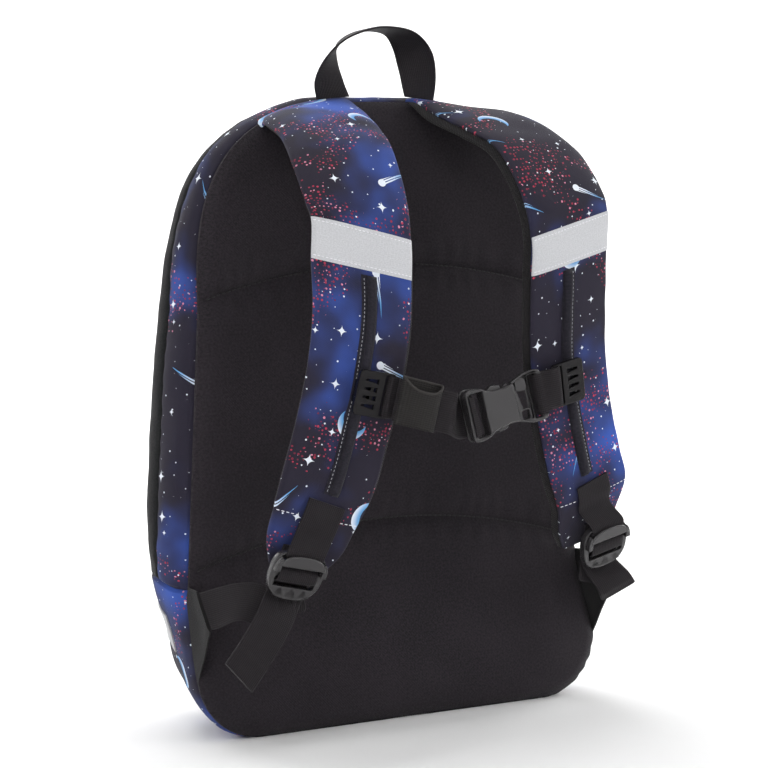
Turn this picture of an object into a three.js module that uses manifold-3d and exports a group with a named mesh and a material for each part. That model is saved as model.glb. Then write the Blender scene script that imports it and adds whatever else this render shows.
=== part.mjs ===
// Kids backpack standing on its base, in millimetres: +Z is up and the wearer's side faces -Y.
// While it is built, y = 0 is the crown of the padded back panel and x = 0 the bag's middle.
import * as THREE from 'three';
import { mergeVertices } from 'three/addons/utils/BufferGeometryUtils.js';
import Module from 'manifold-3d';

const wasm = await Module();
wasm.setup();

// Clearance between neighbours, and the distance under which two points are one
const GAP = 0.3;
const WELD = 1e-4;

// Walls of cloth, thin padding and lining, with pocket layers in the front, and what is sewn on them
const CLOTH = 3;
const FRONT_WALL = 6;
const COVER = 1.5;
const TRIM = 1;
const TAB_THICKNESS = 2;
const WEBBING = { width: 25, thickness: 1.6 };

// Back panel: arch over straight sides that widen towards round lower corners
const PANEL = { top: 393, spring: 265, archHalf: 128, archPower: 2.8, lowHalf: 146, corner: 42, bottom: 0 };
const PANEL_RISE = PANEL.top - PANEL.spring;
const PANEL_EDGE = 5;
const PANEL_CROWN = 5.7;
const PANEL_PADDING = 6;
const PANEL_SIDE_POWER = 12;
const PANEL_END_POWER = 12;
const SEAM_DEPTH = 11;
const PANEL_TRIM = 0.4;
const PANEL_STEPS = { rows: 20, columns: 14 };

// Two arched quilt seams across the panel, by their height at the middle
const QUILT = { heights: [129, 290], arch: 0.0012, depth: 4, spread: 9 };

// Body behind the panel: its outline shrinks by the taper, bulges out and lifts at its lower corners,
// and its slack lower end leans to the right
const BODY_ROWS = [
  { depth: 11, taper: 1, bulge: 0, lift: 0 },
  { depth: 20, taper: 1, bulge: 6, lift: 1 },
  { depth: 32, taper: 0.995, bulge: 10, lift: 6 },
  { depth: 46, taper: 0.98, bulge: 12, lift: 12 },
  { depth: 58, taper: 0.955, bulge: 11, lift: 15 },
  { depth: 74, taper: 0.905, bulge: 8, lift: 19 },
  { depth: 90, taper: 0.85, bulge: 4, lift: 21 },
  { depth: 105, taper: 0.79, bulge: 0, lift: 23 },
];
const TAPER_HEIGHT = 130;
const BULGE_SPAN = { none: 40, fullFrom: 120, fullTo: 200, end: 380, endShare: 0.42 };
const LIFT_SPAN = { innerX: 60, outerX: 140, low: 30, high: 150 };
const LEAN = { by: 8.5, full: 30, none: 95 };
const WEDGE = { from: 180, to: PANEL.top, thinning: 0.25 };
const FRONT_SEAM_DEPTH = 105;
const CROSS_SEAM_HEIGHT = 95;

// Depths of the folds of each strip; neighbours share their first or last depth
const STRIP_DEPTHS = {
  back: [11, 15, 20, 32, 38],
  zip: [38, 46, 58, 74],
  front: [74, 82, 94, 105],
  bottom: [11, 20, 32, 46, 58, 74, 90, 105],
};
const UPPER_STEPS = 44;
const BOTTOM_STEPS = 26;
const FRONT_STEPS = 60;

// Front panel: the seam outline shrunk towards its middle, on a cone that bulges forward
const FRONT_MIDDLE = { height: 170, depth: 140 };
const FRONT_ROWS = [
  { scale: 1, bulge: 0 },
  { scale: 0.94, bulge: 9 },
  { scale: 0.8, bulge: 14 },
  { scale: 0.5, bulge: 11 },
  { scale: 0, bulge: 0 },
];

// Shoulder strap, right side: its two edges in front of the panel, from the top seam to the tip
const STRAP_ROWS = [
  { inX: 20, inOut: -10.4, inZ: 392, outX: 83, outOut: -10.4, outZ: 375, crown: 0, pad: 0 },
  { inX: 20, inOut: -7, inZ: 392, outX: 84, outOut: -7, outZ: 376, crown: 0, pad: 0 },
  { inX: 20, inOut: 3, inZ: 391, outX: 87, outOut: 3, outZ: 379, crown: 4, pad: 3 },
  { inX: 20, inOut: 21, inZ: 382, outX: 94, outOut: 20, outZ: 378, crown: 7, pad: 7 },
  { inX: 25, inOut: 47, inZ: 371, outX: 98, outOut: 46, outZ: 369, crown: 7.5, pad: 8 },
  { inX: 32, inOut: 74, inZ: 357, outX: 103, outOut: 69, outZ: 354, crown: 6.5, pad: 8 },
  { inX: 36, inOut: 97, inZ: 326, outX: 105, outOut: 90, outZ: 329, crown: 4.5, pad: 8 },
  { inX: 38, inOut: 103, inZ: 301, outX: 104, outOut: 96, outZ: 318, crown: 3, pad: 8 },
  { inX: 38, inOut: 102, inZ: 278, outX: 104, outOut: 95, outZ: 294, crown: 2, pad: 8 },
  { inX: 38.5, inOut: 99, inZ: 248, outX: 103, outOut: 93, outZ: 264, crown: 2, pad: 8 },
  { inX: 42, inOut: 94, inZ: 218, outX: 105, outOut: 88.5, outZ: 234, crown: 2, pad: 8 },
  { inX: 50, inOut: 88.5, inZ: 184, outX: 111, outOut: 83, outZ: 201, crown: 2, pad: 8 },
  { inX: 59, inOut: 84, inZ: 153, outX: 119, outOut: 79.5, outZ: 172, crown: 2, pad: 8 },
  { inX: 69, inOut: 77, inZ: 131, outX: 125, outOut: 78, outZ: 151, crown: 2, pad: 7 },
  { inX: 75, inOut: 69, inZ: 116, outX: 125, outOut: 66, outZ: 132, crown: 1.5, pad: 6 },
  { inX: 84, inOut: 61, inZ: 106, outX: 121, outOut: 60, outZ: 116, crown: 0.5, pad: 4 },
];
const STRAP_SEAT = 2.1 + GAP;
const STRAP_SEAT_FADE = { from: 1, to: 2.6 };
const STRAP_PAD_START = 1.7;
const STRAP_COLUMNS = 7;
const STRAP_CROWN_POWER = 4;
const STRAP_STEPS = 24;

// What is sewn on the strap, by row of the table above and by share of the strap's half width
const REFLECTOR_SPAN = { from: 7, to: 8 };
const RAIL = { from: 8.1, to: 12.3, across: -0.08, radius: 2.2, sides: 8, steps: 12 };
const SLIDER_ROW = 10.28;
const END_WEBBING_ROWS = [12.5, 12.9, 13.3];

// Ladder lock, right side, with the bars and slots that the webbing goes round
const LOCK = { centre: [109.5, -71, 109.5], along: [0.2, 0.4, -0.894], across: [0.94, -0.02, 0.34] };
const LOCK_SIZE = { width: 34.4, length: 32, thickness: 5, taper: 0.06, power: 0.75, steps: 24 };
const LOCK_SLOTS = [
  { from: -12, to: -2 },
  { from: 2, to: 8 },
];
const LOCK_SLOT_WIDTH = 26.5;
const LOCK_GRIPS = { count: 3, pitch: 8, along: 11.8, size: 2.5 };
const LOCK_HOOD = { to: -6.5, low: 5.1, high: 7, sideFrom: 13.3, sideStart: -11, sideEnd: -3 };

// Way of the strap's end webbing round the lock's top bar, and of the lower webbing round the middle one
const TOP_BAR_LOOP = [
  { along: -15.5, normal: 3.9 },
  { along: -11.5, normal: 3.5 },
  { along: -10.2, normal: 0 },
  { along: -11.5, normal: -3.5 },
  { along: -16, normal: -3.8 },
];
const MIDDLE_BAR_LOOP = [
  { along: 12, normal: -7.2 },
  { along: 2, normal: -6.6 },
  { along: -3.6, normal: -5 },
  { along: -4.6, normal: 0 },
  { along: -3.4, normal: 3.6 },
  { along: 0, normal: 4.1 },
  { along: 3.6, normal: 3.4 },
  { along: 4.8, normal: 0 },
  { along: 6.4, normal: -3 },
  { along: 10, normal: -4.1 },
  { along: 16, normal: -4.1 },
];

// Lower webbing between the side tab and the lock, and its free tails, with the direction of its width
const TAB_CLEARANCE = { distance: 1.6, direction: [-0.57, -0.75, 0.33] };
const WEBBING_TO_LOCK = [
  { point: [129, -49, 93], across: [-0.55, 0, 0.83] },
  { point: [111, -59, 83], across: [-0.9, 0, 0.2] },
];
const LEFT_TAIL = [
  { point: [124, -68, 82], across: [-0.8, 0, -0.6] },
  { point: [137, -70, 66], across: [-0.68, 0, -0.73] },
  { point: [148.5, -70, 52.5], across: [-0.66, 0, -0.75] },
];
const RIGHT_TAIL = [
  { point: [119, -67, 84], across: [-0.9, 0.1, -0.4] },
  { point: [126, -62, 77], across: [-0.85, 0.3, -0.45] },
];

// Side tab, right side: base along the side seam, free edge that carries the webbing
const TAB_BASE = { top: 97, bottom: 37, out: 1.7, depth: 10.4 };
const TAB_FREE = { top: [146, -12, 97], bottom: [145, -27, 74] };

// Grab handle: middle line of the webbing, with its turn from facing back to facing up
const HANDLE_DEPTH = 9;
const HANDLE_ROWS = [
  { x: -29.5, z: 394.7, turn: 5 },
  { x: -32, z: 405, turn: 15 },
  { x: -30.5, z: 417, turn: 40 },
  { x: -23.5, z: 429, turn: 70 },
  { x: -7, z: 437, turn: 88 },
  { x: 8, z: 438.5, turn: 92 },
  { x: 21, z: 435.5, turn: 110 },
  { x: 29, z: 426, turn: 135 },
  { x: 32.5, z: 411, turn: 168 },
  { x: 33, z: 394.7, turn: 192 },
];
const HANDLE_FOOT_SLOPE = 0.09;
const HANDLE_STEPS = 32;

// Sternum strap: sliders on the rails, a buckle along its own axis, webbing between them
const SLIDER = { inner: -18, outer: 6, length: 27, thickness: 3, corner: 3, rib: 2.5, clearance: 0.4 };
const SLIDER_SLOT = { from: -14.6, to: -10.8, length: 25.8 };
const SLIDER_TEETH = { count: 4, pitch: 5, from: -6.5, to: 1.5, width: 2 };
const BUCKLE = { start: [-10, -106, 196.5], end: [46, -106, 209], width: 32, thickness: 9 };
const FEMALE = { length: 34, bar: 3, windowEnd: 12, mouth: 20, mouthDepth: 20, mouthThickness: 5, corner: 5 };
const FEMALE_SIDE = { from: 17, to: 26, depth: 6 };
const FEMALE_NECK = { from: 16, half: 12 };
const MALE = { baseEnd: 56, windowStart: 46, windowEnd: 52, thickness: 4.4, clearance: 0.4 };
const MALE_ARM = { width: 4, reach: 17, root: 2 };
const MALE_GAP = { from: 37.5, to: 43, inner: 6.5, outer: 12 };
const BUCKLE_WINDOW = 26.5;
const STERNUM_LEFT = { start: [-58, -108, 210], end: [-22, -110, 200], shares: [0, 0.1, 0.7, 1] };
const STERNUM_STEPS = 36;
const KEEPER = { from: 0.12, to: 0.65, height: 28, thickness: 1.4, clearance: 0.5 };

// Hidden zip slider with its pull, and the reflectors low on the sides
const ZIP_SLIDER = { above: 16, depth: 67, body: 9, bodyLength: 12, pull: 5, length: 38, thickness: 2.5 };
const SIDE_REFLECTOR = { low: 47, high: 72, back: 36, front: 72 };

const { clamp, lerp, degToRad, euclideanModulo, smoothstep } = THREE.MathUtils;
const vec = (x, y, z) => new THREE.Vector3(x, y, z);

const finish = (color, roughness) => new THREE.MeshStandardMaterial({ color, roughness, metalness: 0 });
const MATERIALS = {
  print: finish(0x2a2d48, 0.8),
  black: finish(0x242124, 0.9),
  webbing: finish(0x262324, 0.85),
  plastic: finish(0x3f3f42, 0.45),
  reflective: finish(0xcacacd, 0.5),
};

const bag = new THREE.Group();

function addPiece(name, geometry, material) {
  const mesh = new THREE.Mesh(geometry, MATERIALS[material]);
  mesh.name = name;
  bag.add(mesh);
}

// Adds a piece of the right side and its mirror image on the left
function addPair(name, geometry, material) {
  addPiece(`${name}_right`, geometry, material);
  addPiece(`${name}_left`, mirrored(geometry), material);
}

function mirrored(geometry) {
  const copy = geometry.clone();
  copy.scale(-1, 1, 1);
  const index = copy.getIndex();
  for (let i = 0; i < index.count; i += 3) {
    const first = index.getX(i);
    index.setX(i, index.getX(i + 1));
    index.setX(i + 1, first);
  }
  return copy;
}

// Closed solid between two grids of points: the outer grid faces out, the inner one lies behind it
function solidBetween(outer, inner, wraps = false) {
  const positions = [];
  const known = new Map();
  const triangles = [];
  const indexOf = (point) => {
    const key = point.toArray().map((value) => Math.round(value / WELD)).join();
    if (!known.has(key)) {
      known.set(key, positions.length / 3);
      positions.push(point.x, point.y, point.z);
    }
    return known.get(key);
  };
  const triangle = (a, b, c) => {
    const ids = [a, b, c].map(indexOf);
    if (new Set(ids).size === 3) triangles.push(...ids);
  };
  const quad = (a, b, c, d) => {
    triangle(a, b, c);
    triangle(a, c, d);
  };
  const last = outer.length - 1;
  const columns = outer[0].length;
  const spans = wraps ? columns : columns - 1;
  for (let j = 0; j < spans; j++) {
    const k = (j + 1) % columns;
    for (let i = 0; i < last; i++) {
      quad(outer[i][j], outer[i + 1][j], outer[i + 1][k], outer[i][k]);
      quad(inner[i][j], inner[i][k], inner[i + 1][k], inner[i + 1][j]);
    }
    quad(outer[0][j], outer[0][k], inner[0][k], inner[0][j]);
    quad(outer[last][k], outer[last][j], inner[last][j], inner[last][k]);
  }
  for (let i = 0; i < last && !wraps; i++) {
    quad(outer[i + 1][0], outer[i][0], inner[i][0], inner[i + 1][0]);
    quad(outer[i][spans], outer[i + 1][spans], inner[i + 1][spans], inner[i][spans]);
  }
  const geometry = new THREE.BufferGeometry();
  geometry.setAttribute('position', new THREE.Float32BufferAttribute(positions, 3));
  geometry.setIndex(triangles);
  geometry.computeVertexNormals();
  return geometry;
}

const gridOf = (us, vs, pointAt) => us.map((u) => vs.map((v) => pointAt(u, v)));

function spaced(from, to, steps) {
  return Array.from({ length: steps + 1 }, (_, i) => lerp(from, to, i / steps));
}

// The grid moved along its own normals, which point to the side that its rows and columns turn to
function offsetGrid(grid, distance) {
  const row = (i) => grid[clamp(i, 0, grid.length - 1)];
  const at = (i, j) => row(i)[clamp(j, 0, grid[0].length - 1)];
  return grid.map((line, i) => line.map((point, j) => {
    const along = at(i + 1, j).clone().sub(at(i - 1, j));
    const across = at(i, j + 1).clone().sub(at(i, j - 1));
    return point.clone().addScaledVector(along.cross(across).normalize(), distance);
  }));
}

// Value of a column at a row number that may lie between two rows
function columnAt(rows, name, row) {
  const low = Math.min(Math.floor(row), rows.length - 2);
  return lerp(rows[low][name], rows[low + 1][name], row - low);
}

// Triangles that keep three different corners once near points are one
function properTriangles(indices) {
  const kept = [];
  for (let i = 0; i < indices.length; i += 3) {
    const corners = [...indices.slice(i, i + 3)];
    if (new Set(corners).size === 3) kept.push(...corners);
  }
  return kept;
}

// Booleans on closed meshes
function toSolid(geometry) {
  const bare = geometry.clone();
  bare.deleteAttribute('normal');
  bare.deleteAttribute('uv');
  const welded = mergeVertices(bare, WELD);
  const vertProperties = new Float32Array(welded.getAttribute('position').array);
  const triVerts = Uint32Array.from(properTriangles(welded.getIndex().array));
  return new wasm.Manifold(new wasm.Mesh({ numProp: 3, vertProperties, triVerts }));
}

function toGeometry(solid) {
  const mesh = solid.getMesh();
  const geometry = new THREE.BufferGeometry();
  geometry.setAttribute('position', new THREE.Float32BufferAttribute(mesh.vertProperties, 3));
  geometry.setIndex([...mesh.triVerts]);
  geometry.computeVertexNormals();
  return geometry;
}

function boxSolid(low, high) {
  const size = high.map((value, i) => value - low[i]);
  const box = new THREE.BoxGeometry(...size);
  box.translate(...low.map((value, i) => value + size[i] / 2));
  return toSolid(box);
}

// Outlines for moulded pieces
const CORNER_STEPS = 4;

function roundedRectangle(x0, y0, x1, y1, radius) {
  const corners = [
    { x: x1 - radius, y: y0 + radius, from: -90 },
    { x: x1 - radius, y: y1 - radius, from: 0 },
    { x: x0 + radius, y: y1 - radius, from: 90 },
    { x: x0 + radius, y: y0 + radius, from: 180 },
  ];
  return new THREE.Shape(corners.flatMap(({ x, y, from }) => (
    spaced(from, from + 90, CORNER_STEPS).map((angle) => new THREE.Vector2(
      x + radius * Math.cos(degToRad(angle)),
      y + radius * Math.sin(degToRad(angle)),
    ))
  )));
}

function rectangle(x0, y0, x1, y1) {
  const corners = [[x0, y0], [x1, y0], [x1, y1], [x0, y1]];
  return new THREE.Shape(corners.map(([x, y]) => new THREE.Vector2(x, y)));
}

function moulded(shape, low, high) {
  const geometry = new THREE.ExtrudeGeometry(shape, { depth: high - low, bevelEnabled: false });
  geometry.translate(0, 0, low);
  return geometry;
}

// Plate with holes cut right through it
function pierced(shape, holes, low, high) {
  const cut = (solid, hole) => solid.subtract(toSolid(moulded(hole, low - 1, high + 1)));
  return holes.reduce(cut, toSolid(moulded(shape, low, high)));
}

// A frame has an origin and three unit directions; a moulded piece is drawn in across, along, normal
function frameOf(origin, along, across) {
  const a = along.clone().normalize();
  const normal = a.clone().cross(across).normalize();
  return { origin, along: a, across: normal.clone().cross(a), normal };
}

function inFrame(frame, across, along, normal) {
  return frame.origin.clone()
    .addScaledVector(frame.across, across)
    .addScaledVector(frame.along, along)
    .addScaledVector(frame.normal, normal);
}

// Drawings are seen from the outside, so their second axis points against the frame's along
function placed(geometry, frame) {
  const up = frame.along.clone().negate();
  const matrix = new THREE.Matrix4().makeBasis(frame.across, up, frame.normal).setPosition(frame.origin);
  return toGeometry(toSolid(geometry.clone().applyMatrix4(matrix)));
}

// Flat band along a smooth way; each station has a point and the direction of the band's width
function ribbon(stations, steps, width = WEBBING.width, thickness = WEBBING.thickness) {
  const smooth = (points) => new THREE.CatmullRomCurve3(points, false, 'centripetal');
  const way = smooth(stations.map((station) => station.point));
  const turning = smooth(stations.map((station) => station.across.clone().normalize()));
  const edge = (t, side) => {
    const across = turning.getPoint(t).normalize();
    return way.getPoint(t).addScaledVector(across, side * width / 2);
  };
  const middle = gridOf(spaced(0, 1, steps), [-1, 1], edge);
  return solidBetween(offsetGrid(middle, thickness / 2), offsetGrid(middle, -thickness / 2));
}

// Panel outline
function panelHalfWidth(z) {
  const cornerTop = PANEL.bottom + PANEL.corner;
  if (z <= PANEL.bottom || z >= PANEL.top) return 0;
  if (z < cornerTop) {
    return PANEL.lowHalf - PANEL.corner + Math.sqrt(PANEL.corner ** 2 - (cornerTop - z) ** 2);
  }
  if (z < PANEL.spring) {
    return lerp(PANEL.lowHalf, PANEL.archHalf, (z - cornerTop) / (PANEL.spring - cornerTop));
  }
  const rise = (z - PANEL.spring) / PANEL_RISE;
  return PANEL.archHalf * (1 - rise ** PANEL.archPower) ** (1 / PANEL.archPower);
}

function topSeamHeight(x) {
  const share = Math.abs(x) / PANEL.archHalf;
  return PANEL.spring + PANEL_RISE * (1 - share ** PANEL.archPower) ** (1 / PANEL.archPower);
}

// Closed outline in x and z, from the middle of the base up the right side and down the left
const ARC_STEPS = 20;
const rightOutline = [
  new THREE.Vector2(0, PANEL.bottom),
  ...spaced(-90, 0, ARC_STEPS).map((angle) => new THREE.Vector2(
    PANEL.lowHalf - PANEL.corner + PANEL.corner * Math.cos(degToRad(angle)),
    PANEL.bottom + PANEL.corner + PANEL.corner * Math.sin(degToRad(angle)),
  )),
  ...spaced(0, 90, 2 * ARC_STEPS).map((angle) => new THREE.Vector2(
    PANEL.archHalf * Math.max(0, Math.cos(degToRad(angle))) ** (2 / PANEL.archPower),
    PANEL.spring + PANEL_RISE * Math.sin(degToRad(angle)) ** (2 / PANEL.archPower),
  )),
];
const leftOutline = rightOutline.slice(0, -1).reverse().map((p) => new THREE.Vector2(-p.x, p.y));
const outline = new THREE.Path([...rightOutline, ...leftOutline]);
const OUTLINE_LENGTH = outline.getLength();
const NORMAL_REACH = 6;

const outlineAt = (s) => outline.getPointAt(euclideanModulo(s, OUTLINE_LENGTH) / OUTLINE_LENGTH);

function outlineNormal(s) {
  const tangent = outlineAt(s + NORMAL_REACH).sub(outlineAt(s - NORMAL_REACH)).normalize();
  return new THREE.Vector2(tangent.y, -tangent.x);
}

// Way along the outline from the middle of the base to a height on the straight right side
function wayToHeight(z) {
  const cornerTop = PANEL.bottom + PANEL.corner;
  const toCorner = PANEL.lowHalf - PANEL.corner + PANEL.corner * Math.PI / 2;
  return toCorner + Math.hypot(z - cornerTop, panelHalfWidth(z) - PANEL.lowHalf);
}

// Body surface
function bodyValue(name, depth) {
  const next = BODY_ROWS.findIndex((row) => row.depth >= depth);
  const high = next < 0 ? BODY_ROWS.length - 1 : Math.max(next, 1);
  const slopeAt = (i) => {
    const before = BODY_ROWS[Math.max(i - 1, 0)];
    const after = BODY_ROWS[Math.min(i + 1, BODY_ROWS.length - 1)];
    return (after[name] - before[name]) / (after.depth - before.depth);
  };
  const [a, b] = [BODY_ROWS[high - 1], BODY_ROWS[high]];
  const span = b.depth - a.depth;
  const t = (depth - a.depth) / span;
  const ease = t * t * (3 - 2 * t);
  const bend = t * (1 - t) * (slopeAt(high - 1) * (1 - t) - slopeAt(high) * t);
  return lerp(a[name], b[name], ease) + bend * span;
}

// Share of the bulge at a height: none at the base, full over the middle, less towards the top
function bulgeShare(z) {
  const over = smoothstep(z, BULGE_SPAN.fullTo, BULGE_SPAN.end);
  return smoothstep(z, BULGE_SPAN.none, BULGE_SPAN.fullFrom) * lerp(1, BULGE_SPAN.endShare, over);
}

function leanAt(z) {
  return LEAN.by * (1 - smoothstep(z, LEAN.full, LEAN.none));
}

function bodyPoint(depth, s) {
  const p = outlineAt(s);
  const normal = outlineNormal(s);
  const taper = bodyValue('taper', depth);
  const bulge = bodyValue('bulge', depth) * bulgeShare(p.y);
  const low = 1 - smoothstep(p.y, LIFT_SPAN.low, LIFT_SPAN.high);
  const wide = smoothstep(Math.abs(p.x), LIFT_SPAN.innerX, LIFT_SPAN.outerX);
  const lift = bodyValue('lift', depth) * low * wide;
  const height = p.y > TAPER_HEIGHT ? lerp(TAPER_HEIGHT, p.y, taper) : p.y;
  const wedge = 1 - WEDGE.thinning * smoothstep(p.y, WEDGE.from, WEDGE.to);
  return vec(
    p.x * taper + normal.x * bulge + leanAt(p.y),
    SEAM_DEPTH + (depth - SEAM_DEPTH) * wedge,
    height + normal.y * bulge + lift,
  );
}

function bodyFrame(depth, s) {
  const origin = bodyPoint(depth, s);
  const down = bodyPoint(depth, s - 1).sub(bodyPoint(depth, s + 1));
  const forward = bodyPoint(depth + 1, s).sub(bodyPoint(depth - 1, s));
  return frameOf(origin, down, forward);
}

// A strip of the body between two depths and two ways along the outline
function bodyStrip(depths, from, to, steps) {
  const trimmed = [...depths];
  trimmed[0] += GAP / 2;
  trimmed[trimmed.length - 1] -= GAP / 2;
  const ways = spaced(from + GAP / 2, to - GAP / 2, steps);
  const inside = (depth, s) => inFrame(bodyFrame(depth, s), 0, 0, -CLOTH);
  return solidBetween(gridOf(trimmed, ways, bodyPoint), gridOf(trimmed, ways, inside));
}

// Padded panel: rows follow the quilt seams' arch, so height is measured at the middle
function panelRowHalfWidth(height) {
  let low = 0;
  let high = PANEL.lowHalf + 1;
  for (let i = 0; i < 40; i++) {
    const x = (low + high) / 2;
    if (panelHalfWidth(height - QUILT.arch * x * x) > x) low = x;
    else high = x;
  }
  return low;
}

function panelFace(share, height) {
  const x = share * panelRowHalfWidth(height);
  const middle = (PANEL.top + PANEL.bottom) / 2;
  const end = (height - middle) / (PANEL.top - middle);
  const crown = (1 - Math.abs(share) ** PANEL_SIDE_POWER) * (1 - Math.abs(end) ** PANEL_END_POWER);
  const stitched = QUILT.heights.map((quilt) => Math.exp(-(((height - quilt) / QUILT.spread) ** 2)));
  const dent = QUILT.depth * Math.max(...stitched);
  const rise = Math.max(0, PANEL_CROWN - dent) * crown;
  const z = height - QUILT.arch * x * x;
  return vec(x + leanAt(z), SEAM_DEPTH - GAP - PANEL_EDGE - rise, z);
}

function backPanel() {
  const smooth = spaced(0, 180, PANEL_STEPS.rows).map((angle) => (
    lerp(PANEL.bottom + PANEL_TRIM, PANEL.top - PANEL_TRIM, (1 - Math.cos(degToRad(angle))) / 2)
  ));
  const isClear = (height) => QUILT.heights.every((quilt) => Math.abs(height - quilt) > 2 * QUILT.spread);
  const clear = smooth.filter(isClear);
  const stitched = QUILT.heights.flatMap((quilt) => [quilt - QUILT.spread, quilt, quilt + QUILT.spread]);
  const heights = [...clear, ...stitched].sort((a, b) => a - b);
  const face = gridOf(spaced(-1, 1, PANEL_STEPS.columns), heights, panelFace);
  const backDepth = (depth) => Math.min(SEAM_DEPTH - GAP, depth + PANEL_PADDING);
  const back = face.map((row) => row.map((p) => vec(p.x, backDepth(p.y), p.z)));
  return solidBetween(face, back);
}

function frontPanel() {
  const shrunk = (row, s, wall) => {
    const rim = bodyPoint(FRONT_SEAM_DEPTH, s);
    const share = row.scale * (1 - wall / PANEL.archHalf);
    const cone = lerp(FRONT_MIDDLE.depth, rim.y, row.scale);
    return vec(rim.x * share, cone + row.bulge - wall, lerp(FRONT_MIDDLE.height, rim.z, share));
  };
  const ways = spaced(0, OUTLINE_LENGTH, FRONT_STEPS).slice(0, -1);
  const rowsWith = (wall) => FRONT_ROWS.map((row, i) => ways.map((s) => {
    const seam = i === 0 ? GAP / 2 + wall : 0;
    return shrunk(row, s, wall).add(vec(0, seam, 0));
  }));
  return solidBetween(rowsWith(0), rowsWith(FRONT_WALL), true);
}

// Strap face at a row number and a share of the half width, -1 at the inner edge
const strapEdge = (side) => new THREE.CatmullRomCurve3(
  STRAP_ROWS.map((row) => vec(row[`${side}X`], -row[`${side}Out`], row[`${side}Z`])), false, 'centripetal',
);
const STRAP_EDGES = { inner: strapEdge('in'), outer: strapEdge('out') };
const STRAP_LAST = STRAP_ROWS.length - 1;

function strapFace(row, share) {
  const t = row / STRAP_LAST;
  const inner = STRAP_EDGES.inner.getPoint(t);
  const outer = STRAP_EDGES.outer.getPoint(t);
  const tangent = STRAP_EDGES.inner.getTangent(t).add(STRAP_EDGES.outer.getTangent(t));
  const normal = tangent.cross(outer.clone().sub(inner)).normalize();
  const point = inner.lerp(outer, (share + 1) / 2);
  point.addScaledVector(normal, columnAt(STRAP_ROWS, 'crown', row) * (1 - share ** STRAP_CROWN_POWER));
  const seated = 1 - smoothstep(row, STRAP_SEAT_FADE.from, STRAP_SEAT_FADE.to);
  point.z = lerp(point.z, topSeamHeight(point.x) + STRAP_SEAT, seated);
  return point;
}

const strapShares = spaced(-1, 1, STRAP_COLUMNS - 1);

function strapLayer(from, to, steps, lift, thickness) {
  const face = gridOf(spaced(from, to, steps), strapShares, strapFace);
  return solidBetween(offsetGrid(face, lift), offsetGrid(face, lift - thickness));
}

// Pad under the printed cover, on the same rows, thinner towards its edges
const PAD_EDGE_THINNING = 0.4;

function strapPad() {
  const rows = spaced(0, STRAP_LAST, STRAP_STEPS);
  const first = rows.findIndex((row) => row >= STRAP_PAD_START);
  const face = gridOf(rows, strapShares, strapFace);
  const top = offsetGrid(face, -COVER - GAP);
  const unit = offsetGrid(face, -COVER - GAP - 1);
  const bottom = top.map((line, i) => line.map((point, j) => {
    const thinning = 1 - PAD_EDGE_THINNING * strapShares[j] ** 4;
    return point.clone().lerp(unit[i][j], columnAt(STRAP_ROWS, 'pad', rows[i]) * thinning);
  }));
  return solidBetween(top.slice(first), bottom.slice(first));
}

function strapFrame(row, share) {
  const origin = strapFace(row, share);
  const along = strapFace(row + 0.1, share).sub(strapFace(row - 0.1, share));
  const across = strapFace(row, share + 0.1).sub(strapFace(row, share - 0.1));
  return frameOf(origin, along, across);
}

// Ridge on the strap's face, a round cord under the cloth
function strapRail() {
  const way = new THREE.CatmullRomCurve3(spaced(RAIL.from, RAIL.to, 6).map((row) => (
    inFrame(strapFrame(row, RAIL.across), 0, 0, RAIL.radius + GAP)
  )));
  const section = new THREE.Shape().absarc(0, 0, RAIL.radius, 0, 2 * Math.PI);
  const curveSegments = RAIL.sides / 2;
  const settings = { steps: RAIL.steps, extrudePath: way, curveSegments, bevelEnabled: false };
  return toGeometry(toSolid(new THREE.ExtrudeGeometry(section, settings)));
}

// Ladder lock and the webbing through it
const lockFrame = frameOf(vec(...LOCK.centre), vec(...LOCK.along), vec(...LOCK.across));
const lockPoint = (along, normal) => inFrame(lockFrame, 0, along, normal);

// Outline between an ellipse and a box, wider towards its top end
function lockOutline() {
  const eased = (value) => Math.sign(value) * Math.abs(value) ** LOCK_SIZE.power;
  return new THREE.Shape(spaced(0, 360, LOCK_SIZE.steps).slice(0, -1).map((angle) => {
    const up = Math.sin(degToRad(angle));
    const width = LOCK_SIZE.width * (1 + LOCK_SIZE.taper * up);
    return new THREE.Vector2(eased(Math.cos(degToRad(angle))) * width / 2, eased(up) * LOCK_SIZE.length / 2);
  }));
}

// Part of the lock's outline between two heights in the drawing, and outside a width on both sides
function lockPart(low, high, bottom, top, inside) {
  const solid = toSolid(moulded(lockOutline(), low, high));
  const band = boxSolid([-LOCK_SIZE.width, bottom, low], [LOCK_SIZE.width, top, high]);
  const kept = solid.intersect(band);
  if (inside === 0) return kept;
  return kept.subtract(boxSolid([-inside, bottom - 1, low - 1], [inside, top + 1, high + 1]));
}

function ladderLock() {
  const slotHalf = LOCK_SLOT_WIDTH / 2;
  const slots = LOCK_SLOTS.map((slot) => rectangle(-slotHalf, -slot.to, slotHalf, -slot.from));
  const grips = spaced(-LOCK_GRIPS.pitch, LOCK_GRIPS.pitch, LOCK_GRIPS.count - 1).map((x) => (
    new THREE.Shape(spaced(90, 330, 2).map((angle) => new THREE.Vector2(
      x + LOCK_GRIPS.size * Math.cos(degToRad(angle)),
      -LOCK_GRIPS.along + LOCK_GRIPS.size * Math.sin(degToRad(angle)),
    )))
  ));
  const half = LOCK_SIZE.thickness / 2;
  const plate = pierced(lockOutline(), [...slots, ...grips], -half, half);
  const hood = lockPart(LOCK_HOOD.low, LOCK_HOOD.high, -LOCK_HOOD.to, LOCK_SIZE.length, 0);
  const sideSpan = [-LOCK_HOOD.sideEnd, -LOCK_HOOD.sideStart];
  const sides = lockPart(half - GAP, LOCK_HOOD.high, ...sideSpan, LOCK_HOOD.sideFrom);
  return placed(toGeometry(plate.add(hood).add(sides)), lockFrame);
}

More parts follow.
